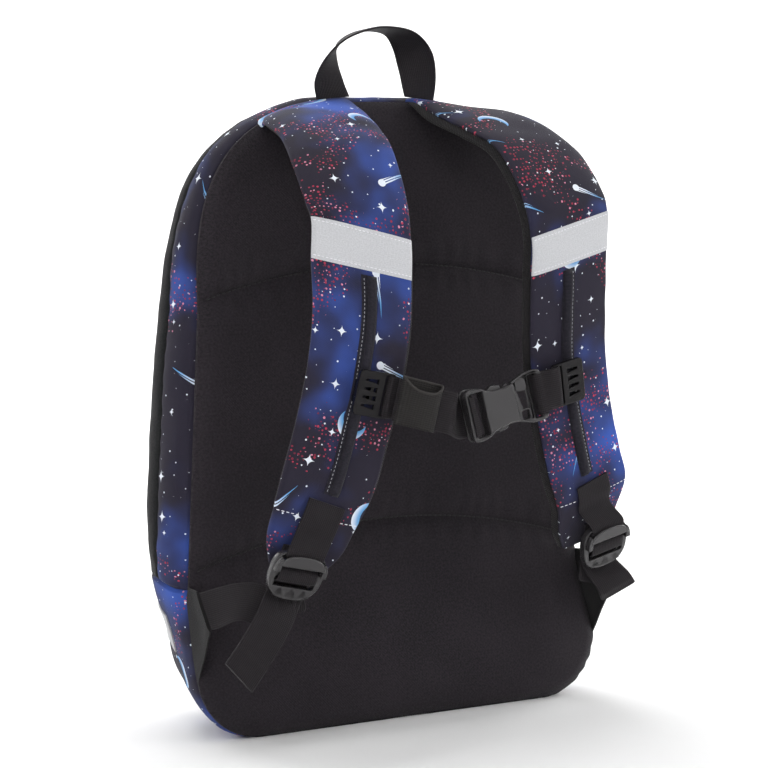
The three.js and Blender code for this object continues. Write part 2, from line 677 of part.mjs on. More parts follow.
const END_WEBBING_STEPS = 26;
const LOWER_WEBBING_STEPS = 60;

function endWebbing() {
  const lift = 4 * GAP + WEBBING.thickness / 2;
  const onStrap = END_WEBBING_ROWS.map((row) => {
    const frame = strapFrame(row, 0);
    return { point: inFrame(frame, 0, 0, lift), across: frame.across };
  });
  const roundBar = TOP_BAR_LOOP.map((row) => (
    { point: lockPoint(row.along, row.normal), across: lockFrame.across }
  ));
  return ribbon([...onStrap, ...roundBar], END_WEBBING_STEPS);
}

// From the side tab up behind the lock, round its middle bar and down again as the free tail
function lowerWebbing(tail) {
  const inward = lockFrame.across.clone().negate();
  const station = (row) => ({ point: vec(...row.point), across: vec(...row.across) });
  const tabTop = vec(...TAB_FREE.top);
  const tabBottom = vec(...TAB_FREE.bottom);
  const start = tabTop.clone().add(tabBottom).divideScalar(2);
  start.addScaledVector(vec(...TAB_CLEARANCE.direction), TAB_CLEARANCE.distance);
  const atTab = { point: start, across: tabTop.clone().sub(tabBottom) };
  const roundBar = MIDDLE_BAR_LOOP.map((row) => (
    { point: lockPoint(row.along, row.normal), across: inward }
  ));
  const stations = [atTab, ...WEBBING_TO_LOCK.map(station), ...roundBar, ...tail.map(station)];
  return ribbon(stations, LOWER_WEBBING_STEPS);
}

// Folded triangle of cloth between the side seam and the lower webbing, drawn on the right;
// side is -1 for the one whose mirror image goes on the left
function sideTab(side) {
  const free = [vec(...TAB_FREE.bottom), vec(...TAB_FREE.top)];
  const at = (out, up) => {
    const z = lerp(TAB_BASE.bottom, TAB_BASE.top, up);
    const base = vec(panelHalfWidth(z) + side * leanAt(z) + TAB_BASE.out, TAB_BASE.depth, z);
    return base.lerp(free[0].clone().lerp(free[1], up), out);
  };
  const middle = gridOf(spaced(0, 1, 3), spaced(0, 1, 6), at);
  return solidBetween(offsetGrid(middle, TAB_THICKNESS / 2), offsetGrid(middle, -TAB_THICKNESS / 2));
}

function grabHandle() {
  return ribbon(HANDLE_ROWS.map((row) => {
    const turn = degToRad(row.turn);
    const across = vec(Math.cos(turn), Math.sin(turn), HANDLE_FOOT_SLOPE * Math.cos(turn) ** 2);
    return { point: vec(row.x, HANDLE_DEPTH, row.z), across };
  }), HANDLE_STEPS);
}

// Clip on the strap's rail: a plate with a bar for the webbing, and two ribs beside the rail
const sliderFrame = strapFrame(SLIDER_ROW, RAIL.across);
const SLIDER_LOW = 2 * RAIL.radius + 2 * GAP;
const SLIDER_HIGH = SLIDER_LOW + SLIDER.thickness;
const SLIDER_BAR = (SLIDER_SLOT.from + SLIDER.inner) / 2;

function sternumSlider() {
  const l = SLIDER.length / 2;
  const slot = rectangle(SLIDER_SLOT.from, -SLIDER_SLOT.length / 2, SLIDER_SLOT.to, SLIDER_SLOT.length / 2);
  const reach = SLIDER_TEETH.pitch * (SLIDER_TEETH.count - 1) / 2;
  const teeth = spaced(-reach, reach, SLIDER_TEETH.count - 1).map((y) => (
    rectangle(SLIDER_TEETH.from, y - SLIDER_TEETH.width / 2, SLIDER_TEETH.to, y + SLIDER_TEETH.width / 2)
  ));
  const plate = roundedRectangle(SLIDER.inner, -l, SLIDER.outer, l, SLIDER.corner);
  let solid = pierced(plate, [slot, ...teeth], SLIDER_LOW, SLIDER_HIGH);
  for (const side of [-1, 1]) {
    const near = RAIL.radius + SLIDER.clearance;
    const far = near + SLIDER.rib;
    const low = [side < 0 ? -far : near, -l / 2, GAP];
    const high = [side < 0 ? -near : far, l / 2, SLIDER_LOW + GAP];
    solid = solid.add(boxSolid(low, high));
  }
  return placed(toGeometry(solid), sliderFrame);
}

// Buckle axis runs from the female end to the male end; drawings lie in its width and length
const buckleStart = vec(...BUCKLE.start);
const buckleAxis = vec(...BUCKLE.end).sub(buckleStart).normalize();
const buckleFrame = frameOf(buckleStart, buckleAxis, vec(0, 0, -1));

// Turns a drawing with its length along x into the buckle's frame
function onBuckle(geometry) {
  const { along, across, normal, origin } = buckleFrame;
  const matrix = new THREE.Matrix4().makeBasis(along, across, normal).setPosition(origin);
  return toGeometry(toSolid(geometry.clone().applyMatrix4(matrix)));
}

function buckleFemale() {
  const [w, t] = [BUCKLE.width / 2, BUCKLE.thickness / 2];
  const plate = roundedRectangle(0, -w, FEMALE.length, w, FEMALE.corner);
  const window = rectangle(FEMALE.bar, -BUCKLE_WINDOW / 2, FEMALE.windowEnd, BUCKLE_WINDOW / 2);
  let solid = pierced(plate, [window], -t, t);
  const mouth = [FEMALE.length - FEMALE.mouthDepth, FEMALE.mouth / 2, FEMALE.mouthThickness / 2];
  solid = solid.subtract(boxSolid([mouth[0], -mouth[1], -mouth[2]], [FEMALE.length + 1, mouth[1], mouth[2]]));
  for (const side of [-1, 1]) {
    const near = side * (w - FEMALE_SIDE.depth);
    const far = side * (w + 1);
    const low = [FEMALE_SIDE.from, Math.min(near, far), -FEMALE.mouthThickness / 2];
    const high = [FEMALE_SIDE.to, Math.max(near, far), FEMALE.mouthThickness / 2];
    solid = solid.subtract(boxSolid(low, high));
    const neck = [side * FEMALE_NECK.half, side * BUCKLE.width].sort((a, b) => a - b);
    const notch = boxSolid([FEMALE_NECK.from, neck[0], -t - 1], [FEMALE.length + 1, neck[1], t + 1]);
    solid = solid.subtract(notch);
  }
  return onBuckle(toGeometry(solid));
}

function buckleMale() {
  const w = BUCKLE.width / 2;
  const t = MALE.thickness / 2;
  const baseStart = FEMALE.length + MALE.clearance;
  const plate = roundedRectangle(baseStart, -w, MALE.baseEnd, w, FEMALE.corner);
  const window = rectangle(MALE.windowStart, -BUCKLE_WINDOW / 2, MALE.windowEnd, BUCKLE_WINDOW / 2);
  const gaps = [[-MALE_GAP.outer, -MALE_GAP.inner], [MALE_GAP.inner, MALE_GAP.outer]].map(
    ([low, high]) => rectangle(MALE_GAP.from, low, MALE_GAP.to, high),
  );
  let solid = pierced(plate, [window, ...gaps], -t, t);
  const armOuter = FEMALE.mouth / 2 - MALE.clearance;
  for (const side of [-1, 0, 1]) {
    const outer = side * armOuter;
    const inner = side === 0 ? MALE_ARM.width / 2 : outer - side * MALE_ARM.width;
    const edges = side === 0 ? [-inner, inner] : [outer, inner];
    const low = [baseStart - MALE_ARM.reach, Math.min(...edges), -t];
    const high = [baseStart + MALE_ARM.root, Math.max(...edges), t];
    solid = solid.add(boxSolid(low, high));
  }
  return onBuckle(toGeometry(solid));
}

// Webbing folded round a slider's bar at one end and round a buckle's bar at the other
function sternumWebbing(sliderEnd, buckleEnd, between) {
  return ribbon([...sliderEnd, ...between, ...buckleEnd], STERNUM_STEPS);
}

function sliderLoop(side) {
  const rows = [
    { across: SLIDER_BAR + 1, normal: SLIDER_LOW - 1.4 },
    { across: SLIDER_SLOT.from + 0.4, normal: SLIDER_LOW - 1.2 },
    { across: SLIDER_SLOT.from + 1.7, normal: (SLIDER_LOW + SLIDER_HIGH) / 2 },
    { across: SLIDER_SLOT.from + 0.2, normal: SLIDER_HIGH + 1.4 },
    { across: SLIDER_BAR - 2.5, normal: SLIDER_HIGH + 1.5 },
  ];
  return rows.map((row) => {
    const point = inFrame(sliderFrame, row.across, 0, row.normal);
    const across = sliderFrame.along.clone().negate();
    point.x *= side;
    across.x *= side;
    return { point, across };
  });
}

function buckleLoop(bar, window, direction) {
  const half = (bar.to - bar.from) / 2;
  const middle = (bar.from + bar.to) / 2;
  const side = window > middle ? 1 : -1;
  const over = bar.height + 1.4;
  const rows = [
    { along: middle - side * (half + 3), normal: over },
    { along: middle + side * (half + 0.8), normal: over - 0.2 },
    { along: middle + side * (half + 1.7), normal: 0 },
    { along: middle + side * (half + 0.8), normal: -over + 0.2 },
    { along: middle - side * (half - 1), normal: -over },
  ];
  const across = buckleFrame.across.clone().negate();
  const stations = rows.map((row) => ({ point: inFrame(buckleFrame, 0, row.along, row.normal), across }));
  return direction > 0 ? stations : stations.reverse();
}

// Elastic sleeve round a straight stretch of the left webbing
function keeper(frame, length) {
  const inside = { w: KEEPER.height / 2, t: WEBBING.thickness / 2 + KEEPER.clearance };
  const outside = { w: inside.w + KEEPER.thickness, t: inside.t + KEEPER.thickness };
  const loop = roundedRectangle(-outside.w, -outside.t, outside.w, outside.t, KEEPER.thickness);
  const inner = rectangle(-inside.w, -inside.t, inside.w, inside.t);
  const sleeve = toGeometry(pierced(loop, [inner], length * KEEPER.from, length * KEEPER.to));
  const matrix = new THREE.Matrix4().makeBasis(frame.across, frame.normal, frame.along);
  return toGeometry(toSolid(sleeve.applyMatrix4(matrix.setPosition(frame.origin))));
}

// Bag body
const crossWay = wayToHeight(CROSS_SEAM_HEIGHT);
const upper = [crossWay, OUTLINE_LENGTH - crossWay];
addPiece('back_panel', backPanel(), 'black');
addPiece('gusset_back_strip', bodyStrip(STRIP_DEPTHS.back, ...upper, UPPER_STEPS), 'print');
addPiece('zip_band', bodyStrip(STRIP_DEPTHS.zip, ...upper, UPPER_STEPS), 'black');
addPiece('gusset_front_strip', bodyStrip(STRIP_DEPTHS.front, ...upper, UPPER_STEPS), 'print');
addPiece('bottom_gusset', bodyStrip(STRIP_DEPTHS.bottom, -crossWay, crossWay, BOTTOM_STEPS), 'print');
addPiece('front_panel', frontPanel(), 'print');

function zipSlider() {
  const frame = bodyFrame(ZIP_SLIDER.depth, wayToHeight(CROSS_SEAM_HEIGHT + ZIP_SLIDER.above));
  const pull = ZIP_SLIDER.pull / 2;
  const body = ZIP_SLIDER.body / 2;
  const corners = [
    [-body, 0], [-pull, 0], [-pull, ZIP_SLIDER.bodyLength - ZIP_SLIDER.length],
    [pull, ZIP_SLIDER.bodyLength - ZIP_SLIDER.length], [pull, 0], [body, 0],
    [body, ZIP_SLIDER.bodyLength], [-body, ZIP_SLIDER.bodyLength],
  ];
  const shape = new THREE.Shape(corners.map(([x, y]) => new THREE.Vector2(x, y)));
  return placed(moulded(shape, 2 * GAP, 2 * GAP + ZIP_SLIDER.thickness), frame);
}
addPiece('zip_slider', zipSlider(), 'plastic');

// Patch on the bottom gusset; side is 1 on the right and -1 on the left
function sideReflector(side) {
  const ends = [SIDE_REFLECTOR.low, SIDE_REFLECTOR.high].map((z) => side * wayToHeight(z));
  const ways = spaced(Math.min(...ends), Math.max(...ends), 3);
  const grid = gridOf(spaced(SIDE_REFLECTOR.back, SIDE_REFLECTOR.front, 4), ways, bodyPoint);
  return solidBetween(offsetGrid(grid, 2 * GAP + TRIM), offsetGrid(grid, 2 * GAP));
}
addPiece('side_reflector_right', sideReflector(1), 'reflective');
addPiece('side_reflector_left', sideReflector(-1), 'reflective');

// Shoulder straps and what they carry
addPair('shoulder_strap', strapPad(), 'black');
addPair('strap_cover', strapLayer(0, STRAP_LAST, STRAP_STEPS, 0, COVER), 'print');
const reflector = strapLayer(REFLECTOR_SPAN.from, REFLECTOR_SPAN.to, 4, GAP + TRIM, TRIM);
addPair('strap_reflector', reflector, 'reflective');
addPair('strap_rail', strapRail(), 'black');
addPair('strap_end_webbing', endWebbing(), 'webbing');
addPair('ladder_lock', ladderLock(), 'plastic');
addPiece('lower_webbing_right', lowerWebbing(RIGHT_TAIL), 'webbing');
addPiece('lower_webbing_left', mirrored(lowerWebbing(LEFT_TAIL)), 'webbing');
addPiece('side_tab_right', sideTab(1), 'black');
addPiece('side_tab_left', mirrored(sideTab(-1)), 'black');
addPiece('grab_handle', grabHandle(), 'webbing');

// Sternum strap
addPair('sternum_slider', sternumSlider(), 'plastic');
addPiece('buckle_female', buckleFemale(), 'plastic');
addPiece('buckle_male', buckleMale(), 'plastic');
const femaleBar = { from: 0, to: FEMALE.bar, height: BUCKLE.thickness / 2 };
const maleBar = { from: MALE.windowEnd, to: MALE.baseEnd, height: MALE.thickness / 2 };
const leftLoop = sliderLoop(-1);
const femaleLoop = buckleLoop(femaleBar, FEMALE.windowEnd, 1);
const leftSpan = vec(...STERNUM_LEFT.end).sub(vec(...STERNUM_LEFT.start));
const leftFrame = frameOf(vec(...STERNUM_LEFT.start), leftSpan, vec(0, 0, -1));
const leftWay = STERNUM_LEFT.shares.map((share) => ({
  point: inFrame(leftFrame, 0, share * leftSpan.length(), 0),
  across: leftFrame.across.clone().negate(),
}));
addPiece('sternum_webbing_left', sternumWebbing(leftLoop, femaleLoop, leftWay), 'webbing');
addPiece('sternum_keeper', keeper(leftFrame, leftSpan.length()), 'webbing');
const rightLoop = sliderLoop(1).reverse();
const maleLoop = buckleLoop(maleBar, MALE.windowStart, -1);
addPiece('sternum_webbing_right', sternumWebbing(maleLoop, rightLoop, []), 'webbing');

// The origin is below the middle of the whole bag's box
const box = new THREE.Box3().setFromObject(bag);
const middle = box.getCenter(new THREE.Vector3());
bag.position.set(-middle.x, -middle.y, -box.min.z);

export default bag;
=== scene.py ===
"""Kids backpack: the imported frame's pieces remade as cloth, padding, webbing and moulded plastic.

Sizes are in millimetres in the frame that the part is drawn in: y = 0 is the crown of the padded
back panel, x = 0 the bag's middle and z = 0 the floor. Each piece is moved to the row frame when it is built.
"""
import math
from collections import namedtuple

import bpy
import numpy as np
from mathutils import Matrix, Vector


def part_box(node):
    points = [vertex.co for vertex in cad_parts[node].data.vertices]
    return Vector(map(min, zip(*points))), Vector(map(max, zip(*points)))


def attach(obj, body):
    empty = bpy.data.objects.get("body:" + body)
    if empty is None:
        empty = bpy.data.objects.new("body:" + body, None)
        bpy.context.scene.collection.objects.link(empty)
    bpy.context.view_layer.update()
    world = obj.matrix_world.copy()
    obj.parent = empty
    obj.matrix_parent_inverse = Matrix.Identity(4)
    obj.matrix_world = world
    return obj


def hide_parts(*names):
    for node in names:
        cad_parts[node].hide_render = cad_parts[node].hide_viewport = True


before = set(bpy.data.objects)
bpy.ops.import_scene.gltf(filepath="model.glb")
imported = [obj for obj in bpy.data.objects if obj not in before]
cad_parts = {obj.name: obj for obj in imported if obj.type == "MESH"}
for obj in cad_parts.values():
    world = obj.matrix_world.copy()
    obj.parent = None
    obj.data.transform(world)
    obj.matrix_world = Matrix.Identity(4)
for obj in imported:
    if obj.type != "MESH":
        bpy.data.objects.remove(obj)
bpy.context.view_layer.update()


def table(kind, rows):
    """Rows of a table with named columns."""
    return [kind(*row) for row in rows]


MM = 0.001
GAP = 0.3
SEAM_DEPTH = 11.0

# Cloth and webbing
CLOTH = 2.0
COVER = 1.5
WEBBING_WIDTH = 25.0
WEBBING_THICKNESS = 1.6

# Back panel: arch over straight sides that widen towards round lower corners
PANEL_TOP = 393.0
PANEL_SPRING = 265.0
PANEL_ARCH_HALF = 128.0
PANEL_ARCH_POWER = 2.8
PANEL_LOW_HALF = 146.0
PANEL_CORNER = 42.0
PANEL_BOTTOM = 0.0
PANEL_RISE = PANEL_TOP - PANEL_SPRING
PANEL_EDGE = 5.0
PANEL_CROWN = 5.7
PANEL_SIDE_POWER = 12
PANEL_END_POWER = 12
PANEL_TRIM = 0.4
PANEL_HEM = 0.8
PANEL_ROUNDING = 9.0
QUILT_HEIGHTS = (129.0, 290.0)
QUILT_ARCH = 0.0012
QUILT_DEPTH = 4.0
QUILT_SPREAD = 9.0

# Body behind the panel: its outline shrinks by the taper, bulges out and lifts at its lower corners,
# and its slack lower end leans to the right
BodyRow = namedtuple("BodyRow", "depth taper bulge lift")
BODY_ROWS = table(BodyRow, [
    (11, 1, 0, 0),
    (20, 1, 6, 1),
    (32, 0.995, 10, 6),
    (46, 0.98, 12, 12),
    (58, 0.955, 11, 15),
    (74, 0.905, 8, 19),
    (90, 0.85, 4, 21),
    (105, 0.79, 0, 23),
])
TAPER_HEIGHT = 130.0
BULGE_NONE, BULGE_FULL_FROM, BULGE_FULL_TO, BULGE_END, BULGE_END_SHARE = 40.0, 120.0, 200.0, 380.0, 0.42
LIFT_INNER_X, LIFT_OUTER_X, LIFT_LOW, LIFT_HIGH = 60.0, 140.0, 30.0, 150.0
LEAN_BY, LEAN_FULL, LEAN_NONE = 8.5, 30.0, 95.0
WEDGE_FROM, WEDGE_THINNING = 180.0, 0.25
BACK_SEAM, ZIP_START, ZIP_COIL, ZIP_END, FRONT_SEAM = 11.0, 38.0, 67.0, 74.0, 105.0
SEAM_REACH = 11.0
ZIP_PUFF, ZIP_FADE = 2.6, 70.0
CROSS_SEAM_HEIGHT = 95.0
FRONT_MIDDLE_HEIGHT, FRONT_MIDDLE_DEPTH = 170.0, 140.0
FrontRow = namedtuple("FrontRow", "scale bulge")
FRONT_ROWS = table(FrontRow, [(0, 0), (0.5, 11), (0.8, 14), (0.94, 9), (1, 0)])
FRONT_RIM_TO, FRONT_RIM_RINGS, FRONT_DOME_FROM, FRONT_DOME_RINGS, FRONT_COLUMNS = 0.8, 16, 0.77, 26, 340

# Right shoulder strap: its two edges in front of the panel, from the top seam to the tip
StrapRow = namedtuple("StrapRow", "in_x in_out in_z out_x out_out out_z crown pad")
STRAP_ROWS = table(StrapRow, [
    (20, -10.4, 392, 83, -10.4, 375, 0, 0),
    (20, -7, 392, 84, -7, 376, 0, 0),
    (20, 3, 391, 87, 3, 379, 4, 3),
    (20, 21, 382, 94, 20, 378, 7, 7),
    (25, 47, 371, 98, 46, 369, 7.5, 8),
    (32, 74, 357, 103, 69, 354, 6.5, 8),
    (36, 97, 326, 105, 90, 329, 4.5, 8),
    (38, 103, 301, 104, 96, 318, 3, 8),
    (38, 102, 278, 104, 95, 294, 2, 8),
    (38.5, 99, 248, 103, 93, 264, 2, 8),
    (42, 94, 218, 105, 88.5, 234, 2, 8),
    (50, 88.5, 184, 111, 83, 201, 2, 8),
    (59, 84, 153, 119, 79.5, 172, 2, 8),
    (69, 77, 131, 125, 78, 151, 2, 7),
    (75, 69, 116, 125, 66, 132, 1.5, 6),
    (84, 61, 106, 121, 60, 116, 0.5, 4),
])
STRAP_LAST = len(STRAP_ROWS) - 1
STRAP_SEAT = 2.1 + GAP
STRAP_PAD_START = 1.7
STRAP_CROWN_POWER = 4
STRAP_SEATED_TO, STRAP_FREE_FROM, STRAP_FLAT_TO = 1.0, 2.6, 2.0
COVER_OUTER_TURN, COVER_OUTER_DROP, COVER_INNER_TURN, COVER_INNER_DROP = 0.07, 1.5, 0.06, 0.9
COVER_PLACE_RIGHT, COVER_PLACE_LEFT = (310, 150), (60, 520)
COVER_INNER_EDGE = -0.88
REFLECTOR_FROM, REFLECTOR_TO, REFLECTOR_LIFT, REFLECTOR_THICKNESS = 7.0, 8.0, 0.6, 0.9
REFLECTOR_SEAM, REFLECTOR_SEAM_LIFT = 0.09, 0.62
RAIL_FROM, RAIL_TO, RAIL_ACROSS, RAIL_RADIUS = 8.1, 12.3, -0.08, 2.2
SLIDER_ROW = 10.28
END_WEBBING_ROWS = (12.5, 12.9, 13.3)

# Ladder lock on the right side, drawn with its second axis up the strap
LOCK_CENTRE = (109.5, -71, 109.5)
LOCK_ALONG = (0.2, 0.4, -0.894)
LOCK_ACROSS = (0.94, -0.02, 0.34)
LOCK_HALF_WIDTH, LOCK_HALF_LENGTH, LOCK_THICKNESS = 17.2, 16.0, 5.0
LOCK_TAPER, LOCK_POWER = 0.06, 0.75
LOCK_SLOTS = ((-12, -2), (2, 8))
LOCK_SLOT_HALF = 13.25
LOCK_HOOD_TO, LOCK_HOOD_LOW, LOCK_HOOD_HIGH = -6.5, 5.1, 7.0
LOCK_SKIRT_INNER, LOCK_SKIRT_LOW, LOCK_SKIRT_HIGH = 13.4, 0.5, 11.5
LOCK_HOOD_SHRINK, LOCK_SKIRT_SHRINK, LOCK_SKIRT_SINK, LOCK_SKIRT_BELOW = 1.6, 0.5, 0.8, 0.4
GripRow = namedtuple("GripRow", "x size")
LOCK_GRIPS = table(GripRow, [(-8, 2.9), (0, 3.3), (8, 2.9)])
LOCK_GRIP_HEIGHT = -11.8

# Webbing round the lock's bars, as ways along the lock and distances from its middle plane
LoopRow = namedtuple("LoopRow", "along normal")
TOP_BAR_LOOP = table(LoopRow, [
    (-15.5, 3.9), (-11.5, 3.5), (-10.2, 0), (-11.5, -3.5), (-16, -3.8),
])
MIDDLE_BAR_LOOP = table(LoopRow, [
    (12, -7.2), (2, -6.6), (-3.6, -5), (-4.6, 0),
    (-3.4, 3.6), (0, 4.1), (3.6, 3.4), (4.8, 0),
    (6.4, -3), (10, -4.1), (16, -4.1),
])

# Lower webbing before and after the lock, with the direction of its width
Station = namedtuple("Station", "point across")
TAB_CLEARANCE = 1.6
TAB_CLEARANCE_WAY = (-0.57, -0.75, 0.33)
WEBBING_TO_LOCK = [Station((129, -49, 93), (-0.55, 0, 0.83)), Station((111, -59, 83), (-0.9, 0, 0.2))]
LEFT_TAIL = [
    Station((124, -68, 82), (-0.8, 0, -0.6)),
    Station((137, -70, 66), (-0.68, 0, -0.73)),
    Station((148.5, -70, 52.5), (-0.66, 0, -0.75)),
]
RIGHT_TAIL = [Station((119, -67, 84), (-0.9, 0.1, -0.4)), Station((126, -62, 77), (-0.85, 0.3, -0.45))]
TAB_BASE_BOTTOM, TAB_BASE_TOP, TAB_BASE_OUT, TAB_BASE_DEPTH = 37, 97, 1.7, 10.4
TAB_FREE_BOTTOM, TAB_FREE_TOP = (145, -27, 74), (146, -12, 97)
TAB_THICKNESS, TAB_BULGE, TAB_LENGTH, TAB_HEIGHT, TAB_FOLD_LENGTH = 2.0, 1.6, 42.0, 60.0, 40.0
RIGHT_HEM, LEFT_HEM = 8.0, 14.0
TAB_TUCK = 2.2

# Grab handle: middle line of the webbing, with its turn from facing back to facing up
HANDLE_DEPTH = 9.0
HANDLE_SLOPE = 0.09
HandleRow = namedtuple("HandleRow", "x z turn")
HANDLE_ROWS = table(HandleRow, [
    (-29.5, 394.7, 5), (-32, 405, 15), (-30.5, 417, 40), (-23.5, 429, 70),
    (-7, 437, 88), (8, 438.5, 92), (21, 435.5, 110), (29, 426, 135),
    (32.5, 411, 168), (33, 394.7, 192),
])

# Sternum strap
SLIDER_INNER, SLIDER_OUTER, SLIDER_LENGTH = -18.0, 6.0, 27.0
SLIDER_THICKNESS, SLIDER_CORNER = 3.0, 3.0
SLIDER_SLOT_FROM, SLIDER_SLOT_TO, SLIDER_SLOT_LENGTH = -14.6, -10.8, 25.8
SLIDER_LOW = 2 * RAIL_RADIUS + 2 * GAP
SLIDER_HIGH = SLIDER_LOW + SLIDER_THICKNESS
SLIDER_BAR = (SLIDER_SLOT_FROM + SLIDER_INNER) / 2
SLIDER_TEETH_FROM, SLIDER_TEETH_TO, SLIDER_TEETH = -6.5, 1.5, (-7.5, -2.5, 2.5, 7.5)
TOOTH_HALF, TOOTH_TIP_LOW, TOOTH_TIP_HIGH = 1.3, -0.2, 0.8
CLAW_FROM, CLAW_TO, CLAW_FOOT = RAIL_RADIUS + 1.1, RAIL_RADIUS + 3.2, 0.9
BUCKLE_START, BUCKLE_END = (-10, -106, 196.5), (46, -106, 209)
BUCKLE_THICKNESS, BUCKLE_WINDOW_HALF = 9.0, 13.25
FEMALE_BAR, FEMALE_WINDOW_END, FEMALE_PLATE_LOW = 3.0, 12.0, 2.3
FEMALE_CORE_HALF, FEMALE_WALL_FROM, FEMALE_WALL_TO = 3.2, 28.0, 33.6
FEMALE_WALL_INNER, FEMALE_WALL_OUTER = 9.4, 11.4
MALE_START, MALE_WINDOW, MALE_END, MALE_THICKNESS = 34.4, (46.0, 52.0), 56.0, 4.4
MALE_GAP_FROM, MALE_GAP_TO, MALE_GAP_INNER, MALE_GAP_OUTER = 37.5, 43.0, 6.5, 12.0
MALE_ROOT, TONGUE_FROM, TONGUE_HALF = MALE_START + 2, 20.0, 2.0
OutlineRow = namedtuple("OutlineRow", "along out")
FEMALE_OUTLINE = table(OutlineRow, [
    (0, 13.6), (1.2, 15.4), (4, 16), (8, 15.8), (12, 14.6),
    (15, 12.9), (19, 11.6), (27, 11), (31, 11.4), (34, 12),
])
FEMALE_CORE = table(OutlineRow, [
    (0.3, 13.2), (1.6, 15), (4, 15.6),
    (8, 15.4), (11.5, 14.3), (13.5, 13.2),
])
MALE_OUTLINE = table(OutlineRow, [
    (MALE_START, 12.2), (38, 13.4), (44, 15.4),
    (51, 16), (55, 15), (MALE_END, 13.4),
])
MALE_ARM = table(OutlineRow, [
    (MALE_ROOT, 5.6), (MALE_ROOT, 9.2), (27, 9.2), (25.5, 13.4),
    (20, 14.2), (17.2, 12.4), (17.5, 9),
])
STERNUM_START, STERNUM_END, STERNUM_SHARES = (-58, -108, 210), (-22, -110, 200), (0, 0.1, 0.7, 1)
LOOP_OVER, LOOP_ROUND, LOOP_EASE = 1.4, 1.7, 0.2
KEEPER_FROM, KEEPER_TO, KEEPER_HEIGHT, KEEPER_THICKNESS = 0.0, 0.68, 28.0, 1.2
KEEPER_DIP, KEEPER_BULGE, KEEPER_RIM = 7.0, 7.0, 0.75
KEEPER_REST, KEEPER_SINK = WEBBING_THICKNESS / 2 + 1.9, 0.9

# Zip slider and the light patches low on the sides
ZIP_SLIDER_ABOVE, ZIP_SLIDER_DEPTH, ZIP_SLIDER_THICKNESS = 16.0, ZIP_COIL, 2.5
ZIP_BODY_HALF, ZIP_BODY_LENGTH = 4.5, 12.0
ZIP_PULL_HALF, ZIP_PULL_LOW, ZIP_PULL_HIGH = 2.5, -26.0, 4.0
ZIP_EYE_HALF, ZIP_EYE_LOW, ZIP_EYE_HIGH = 1.2, -24.0, -18.0
PATCH_LOW, PATCH_HIGH, PATCH_BACK, PATCH_FRONT = 47.0, 72.0, 36.0, 72.0
PATCH_LIFT, PATCH_SINK = 0.9, 0.3

# Relief of the cloth: tables of ripples, and the tucks and puckers beside its seams
FoldRow = namedtuple("FoldRow", "height length draw")
STRIP_FOLDS = [FoldRow(0.6, 75, 0), FoldRow(0.24, 27, 2)]
PANEL_FOLDS = [FoldRow(0.55, 95, 33), FoldRow(0.25, 38, 34)]
STRAP_FOLDS = [FoldRow(0.45, 60, 41), FoldRow(0.15, 24, 42)]
FRONT_FOLDS = [FoldRow(0.9, 85, 21)]
TAB_FOLDS = [FoldRow(0.3, 26, 51)]
WAVE_SPREAD, WAVE_PEAK = (0.7, 1.5), 1.6
TUCK_REACH, TUCK_DEPTH, TUCK_MOST = 2.6, 1.5, 1.3
Pucker = namedtuple("Pucker", "height length wander drift")
SEAM_PUCKER, SEAM_PUCKER_REACH = Pucker(0.35, 13, 1.8, 70), 5.5
QUILT_PUCKER, QUILT_PUCKER_REACH, QUILT_PUCKER_RISE, QUILT_DRAW = Pucker(0.45, 15, 2, 60), 11.0, 6.0, 31
GROOVE_DEPTH, GROOVE_REACH = 2.7, 2.6
GUSSET_PUFF, FRONT_STRIP_PUFF = 1.2, 1.4
PANEL_RELIEF_GAIN = 1.5
STRIP_STEP, STRIP_LEAST_ROWS, STRIP_WAY_STEP, STRIP_PLACE_STEP = 1.6, 16, 2.1, (40.0, 90.0)
BACK_DRAW, ZIP_DRAW, FRONT_DRAW, BOTTOM_DRAW = 3, 5, 8, 13

# Stitches: distance from one to the next, length and radius of the thread
Stitch = namedtuple("Stitch", "pitch length radius")
# The quilt's stitches are near black and nearly touch, so they draw a dark line: stitching and painted shade
# in the quilt grooves
QUILT_STITCH, QUILT_STITCH_INSET, QUILT_STITCH_OUT = Stitch(3.6, 3.5, 0.5), 4.0, 0.1
BAND_STITCH = Stitch(2.5, 1.8, 0.24)
RAIL_STITCH = Stitch(2.4, 1.5, 0.2)
END_STITCH = Stitch(2.7, 2.0, 0.3)
END_SEAM_ROW, END_SEAM_SLANT, END_SEAM_GAP = 12.95, 0.12, 0.44
StitchRow = namedtuple("StitchRow", "share size")
STITCH_SHAPE = table(StitchRow, [
    (-0.5, 0.25), (-0.32, 0.9), (0, 1), (0.32, 0.9), (0.5, 0.25),
])

# Sewn ridge on the strap: a covered cord with a flat flange on its outer side
CORD_HALF, CORD_HEIGHT, FLANGE_HEIGHT, FLANGE_STITCH = 2.9, 4.0, 0.5, 4.6
RAIL_SINK, RAIL_END_HEIGHT, RAIL_END_SHARE, RAIL_CLOSING, RAIL_PLACE = 0.3, 0.2, 0.3, 0.12, 25.0
RAIL_SEAM_INSET, RAIL_SEAM_LIFT, END_SEAM_LIFT = 0.05, 0.6, 0.1
FLANGE_INNER, FLANGE_OUTER = (-3.6, -3.2), (3.4, FLANGE_STITCH, 5.8, 6.2)

# Zip coil: pitch, reach and half width of its teeth, their steps aside and in, and the bare ends
COIL_PITCH, COIL_REACH, COIL_HALF, COIL_ASIDE, COIL_INSET, COIL_SINK = 1.7, 2.2, 0.95, 0.9, 4.0, 0.1
COIL_SHAPE = table(StitchRow, [(-1, 0.45), (-0.55, 1), (0.55, 1), (1, 0.45)])

